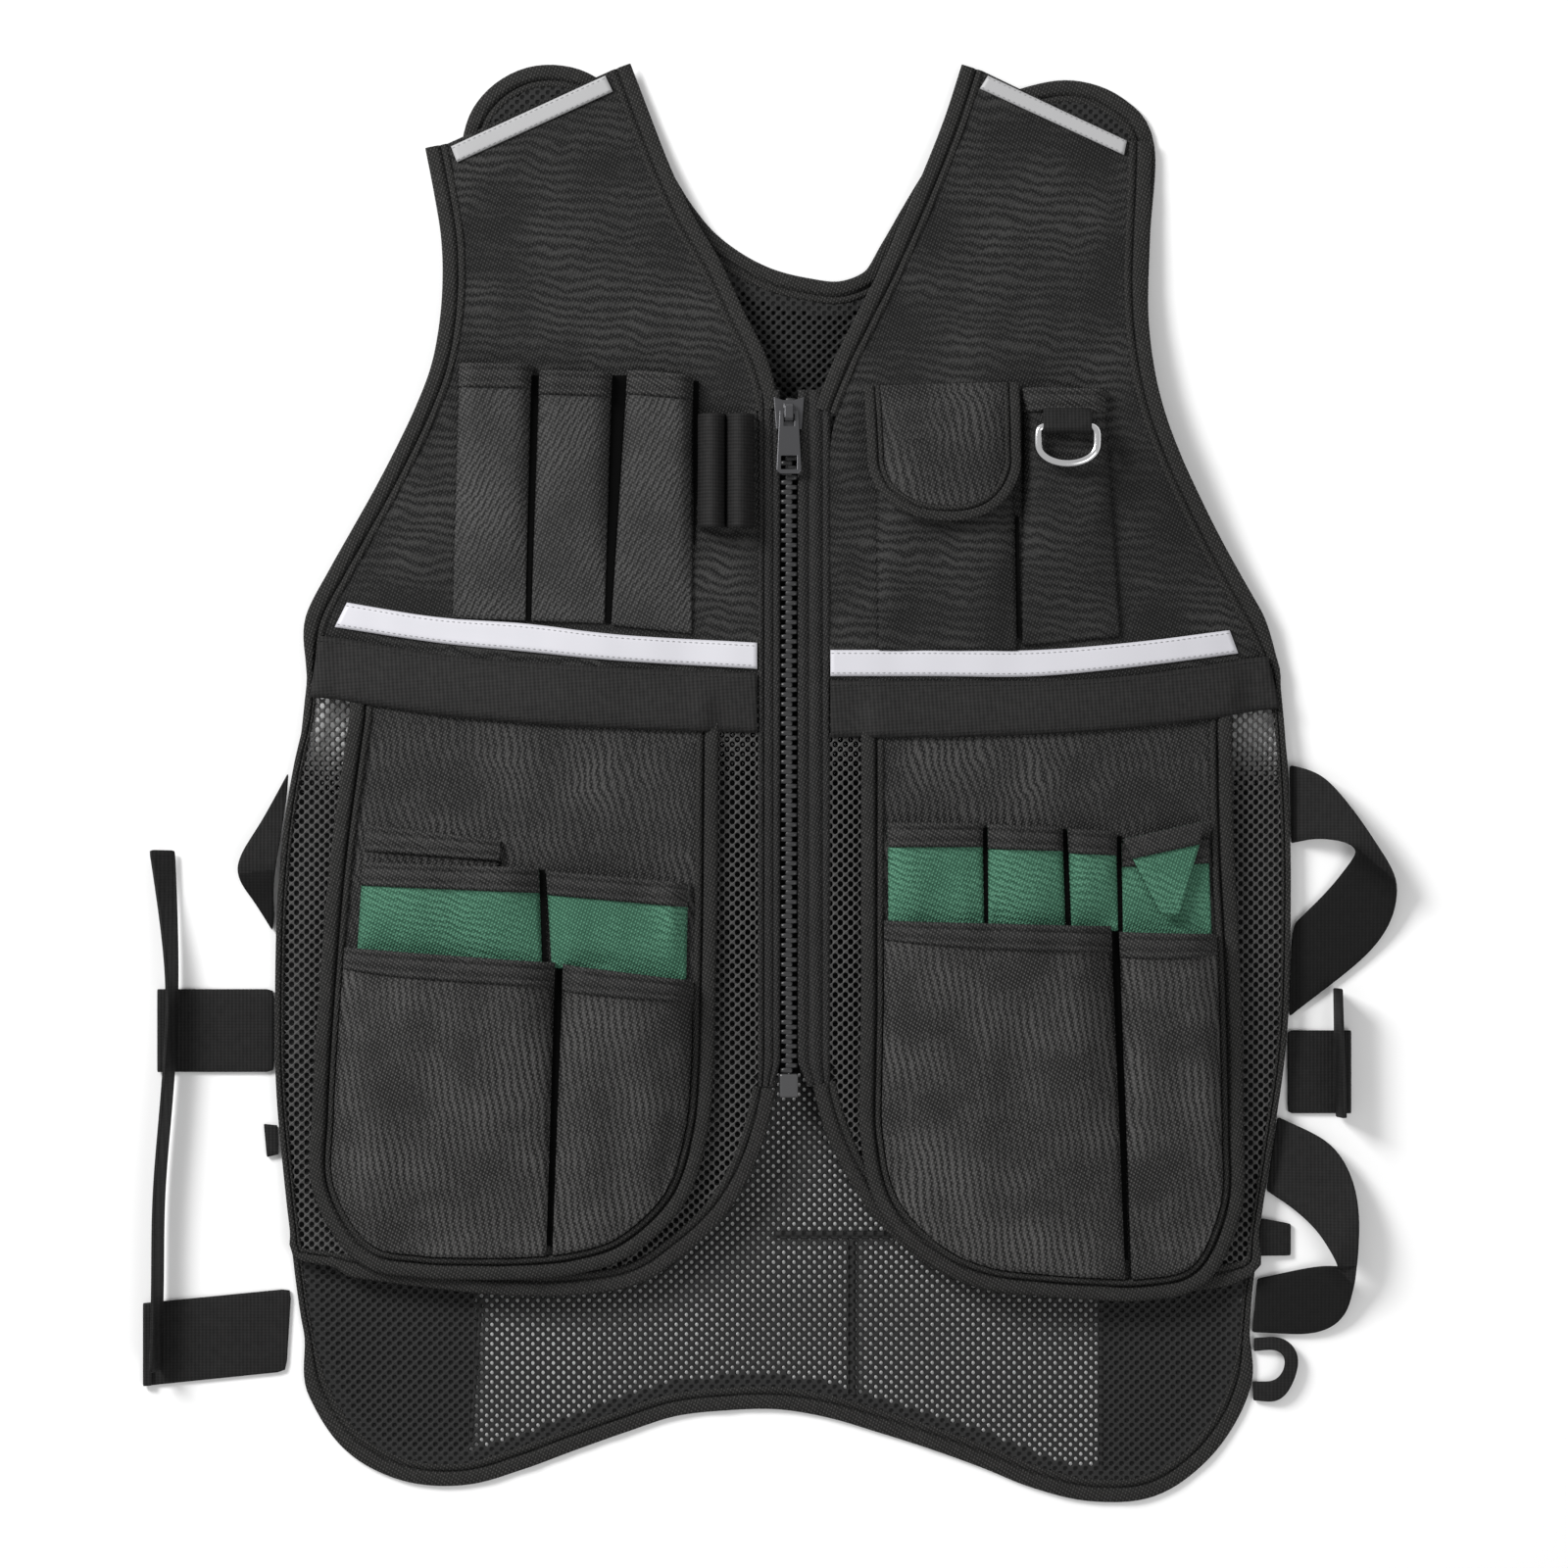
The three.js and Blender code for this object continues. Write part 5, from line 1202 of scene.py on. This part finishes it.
def finer(name, node, look, levels, body="vest", crease_angle=50, declare=None, swell=0.0):
    """A smooth copy of a solid that keeps its sharp edges, swollen by some millimetres."""
    obj, mesh, work = solid_copy(name, node)
    bmesh.ops.join_triangles(work, faces=work.faces, angle_face_threshold=NEARLY_FLAT,
                             angle_shape_threshold=ANY_SHAPE)
    crease = work.edges.layers.float.new("crease_edge")
    for edge in work.edges:
        if len(edge.link_faces) == 2 and edge.calc_face_angle() > math.radians(crease_angle):
            edge[crease] = CREASE
    work.to_mesh(mesh)
    work.free()
    mod = obj.modifiers.new("finer", "SUBSURF")
    mod.levels = levels
    mod.render_levels = levels
    graph = bpy.context.evaluated_depsgraph_get()
    done = bpy.data.meshes.new_from_object(obj.evaluated_get(graph))
    obj.modifiers.clear()
    obj.data = done
    if swell:
        normals = [vertex.normal.copy() for vertex in done.vertices]
        for vertex, normal in zip(done.vertices, normals):
            vertex.co += normal * swell * MM
    dress(done, look, rounded=True)
    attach(obj, body)
    if declare:
        declare_cloth(obj, [node], layers=2)
    else:
        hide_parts(node)
    return obj


# Folded straps get painted shade below the fold, which runs between two points: the part past the fold
# keeps the same face up but is coloured darker
FOLD_SHADE_LINES = {
    "strap_upper_right": ((1.108, 0.4526), (1.19, 0.428)),
    "strap_lower_right": ((1.067, 0.164), (1.113, 0.148)),
    "strap_upper_left": ((-1.085, 0.4336), (-0.99, 0.438)),
}


def shade_below_fold(obj, node):
    """Painted shade: the webbing's darker copy on the faces below the fold."""
    (left_x, left_y), (right_x, right_y) = (spot(*place) for place in FOLD_SHADE_LINES[node])
    obj.data.materials.append(looks["webbing_shade"])
    for face in obj.data.polygons:
        middle = face.center / MM
        if middle.y < np.interp(middle.x, (left_x, right_x), (left_y, right_y)):
            face.material_index = 1


for node in sorted(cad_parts):
    if node.startswith(("strap_", "side_tape_")):
        strip = finer(node + "_cloth", node, "webbing_cloth", 3, declare="folded")
        if node in FOLD_SHADE_LINES:
            shade_below_fold(strip, node)
NO_CREASES = 181
RING_SWELL = 0.6
finer("pen_loops", "elastic_loops", "loop_cloth", 3, declare="folded")
finer("ring_tab", "d_ring_tab", "webbing_cloth", 2, declare="folded")
finer("ring", "d_ring", "chrome", 2, body="d_ring", crease_angle=NO_CREASES,
      swell=RING_SWELL)


# Zip

TOOTH_PITCH = 4.4
TOOTH_START = 1.1
TOOTH_SHIFT = 0.2
TOOTH_FOOT_X = 3.9
TOOTH_NOSE_X = 1.7
TOOTH_THICK = 2.9
TOOTH_TALL = 2.6
TOOTH_SINK = 0.7
NOSE_POINTS = 9
NOSE_SHARE = 0.4
NECK_SHARE = 0.32
# Height and width shares of the rings of points that make a tooth
TOOTH_RINGS = ((0, 1.0), (0.6, 1.0), (0.92, 0.86), (1, 0.6))


def tooth(points, faces, y, z, way):
    """A rounded bar from the tape to past the middle of the chain; way is 1 on the left tape."""
    bar = []
    for share in np.linspace(0, 1, NOSE_POINTS):
        turn = math.pi * (share - 0.5)
        nose = way * TOOTH_NOSE_X - way * (1 - math.cos(turn)) * TOOTH_THICK * NOSE_SHARE
        bar.append((nose, y + math.sin(turn) * TOOTH_THICK / 2))
    for half in (TOOTH_THICK * NECK_SHARE, -TOOTH_THICK * NECK_SHARE):
        bar.append((-way * TOOTH_FOOT_X, y + half))
    count = len(bar)
    at = len(points)
    middle = np.mean(bar, 0)
    for level, shrink in TOOTH_RINGS:
        for corner in bar:
            placed = middle + (np.array(corner) - middle) * shrink
            points.append((placed[0], placed[1], z + TOOTH_TALL * level))
    for ring in range(len(TOOTH_RINGS) - 1):
        for k in range(count):
            a, b = at + ring * count + k, at + ring * count + (k + 1) % count
            face = (a, b, b + count, a + count)
            faces.append(face if way > 0 else face[::-1])
    top = tuple(range(at + (len(TOOTH_RINGS) - 1) * count, at + len(TOOTH_RINGS) * count))
    faces.append(top if way > 0 else top[::-1])


# Painted shade behind the chain: a dark sheet of the shade material under the teeth
CHAIN_SHADE_HALF_WIDTH = 5
CHAIN_SHADE_STEPS = 60
CHAIN_SHADE_SINK = 0.75
chain_shade_line = evenly(np.array([spot(0, ZIP_END_UP), spot(0, ZIP_TOP_UP)]), CHAIN_SHADE_STEPS)
chain_shade_side = (CHAIN_SHADE_HALF_WIDTH, 0)
chain_shade_grid = np.stack([chain_shade_line - chain_shade_side, chain_shade_line, chain_shade_line + chain_shade_side], 1)
chain_shade_z = underside(chain_shade_grid[..., 0], chain_shade_grid[..., 1]) - CHAIN_SHADE_SINK
declare_cloth(gridded("chain_shade_sheet", chain_shade_grid, chain_shade_z, looks["fold_shadow"]))

zip_top_y, zip_end_y = spot(0, ZIP_TOP_UP)[1], spot(0, ZIP_END_UP)[1]
for side, way in (("left", 1), ("right", -1)):
    points, faces = [], []
    shift = TOOTH_SHIFT if way > 0 else TOOTH_SHIFT + TOOTH_PITCH / 2
    for k in range(int((zip_top_y - zip_end_y) / TOOTH_PITCH)):
        y = zip_end_y + shift + TOOTH_START + k * TOOTH_PITCH
        tooth(points, faces, y, float(underside(0.0, y)) - TOOTH_SINK, way)
    teeth = add_mesh(f"teeth_{side}", points, faces, looks["zip_plastic"])
    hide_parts(f"zip_teeth_{side}")

COPLANAR = 0.02
BEVEL_ABOVE = 0.6


def bevelled(name, node, look, width, body="vest"):
    """A copy of a hard solid with its edges broken."""
    obj, mesh, work = solid_copy(name, node)
    bmesh.ops.dissolve_limit(work, angle_limit=COPLANAR, verts=work.verts, edges=work.edges)
    work.to_mesh(mesh)
    work.free()
    mod = obj.modifiers.new("edges", "BEVEL")
    mod.width = width * MM
    mod.segments = 2
    mod.limit_method = "ANGLE"
    mod.angle_limit = BEVEL_ABOVE
    dress(mesh, look, rounded=False)
    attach(obj, body)
    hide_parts(node)


bevelled("slider", "zip_slider", "gunmetal", width=0.35)
bevelled("pull", "zip_pull", "gunmetal", width=0.3, body="zip_pull")
bevelled("end_box", "zip_box", "box_plastic", width=0.8)

stitches = add_mesh("stitches", *dark_rows, looks["stitch_thread"])
strip_stitches = add_mesh("strip_stitches", *light_rows, looks["light_thread"])

# Floor, light and camera
FLOOR_SIZE = 8.0
FLOOR_Z = -0.0004
WORLD_STRENGTH = 0.46
bpy.ops.mesh.primitive_plane_add(size=FLOOR_SIZE, location=(0, 0, FLOOR_Z))
floor = bpy.context.object
floor.name = "floor"
floor.data.materials.append(looks["floor_white"])

world = bpy.context.scene.world or bpy.data.worlds.new("studio")
bpy.context.scene.world = world
world.use_nodes = True
background = world.node_tree.nodes["Background"]
background.inputs["Color"].default_value = (1, 1, 1, 1)
background.inputs["Strength"].default_value = WORLD_STRENGTH
bpy.context.scene.view_settings.view_transform = "Standard"


def area_light(name, place, aim, size, power):
    data = bpy.data.lights.new(name, "AREA")
    data.size = size
    data.energy = power
    lamp = bpy.data.objects.new(name, data)
    lamp.location = place
    lamp.rotation_euler = (Vector(aim) - Vector(place)).to_track_quat("-Z", "Y").to_euler()
    bpy.context.scene.collection.objects.link(lamp)


area_light("key", place=(-1.6, 1.3, 1.5), aim=(0, 0, 0), size=0.9, power=66)
area_light("fill", place=(1.5, -1.2, 2.4), aim=(0.1, -0.1, 0), size=1.6, power=20)

PHOTO_CENTRE = (-2.25 * MM, -2.7 * MM)
VIEW_WIDTH = 0.72
CAMERA_HEIGHT = 3.0
SENSOR_WIDTH = 36
FARTHEST = 20
camera_data = bpy.data.cameras.new("camera")
camera_data.sensor_width = SENSOR_WIDTH
camera_data.lens = SENSOR_WIDTH * CAMERA_HEIGHT / VIEW_WIDTH
camera_data.clip_end = FARTHEST
camera = bpy.data.objects.new("camera", camera_data)
camera.location = (*PHOTO_CENTRE, CAMERA_HEIGHT)
bpy.context.scene.collection.objects.link(camera)
bpy.context.scene.camera = camera
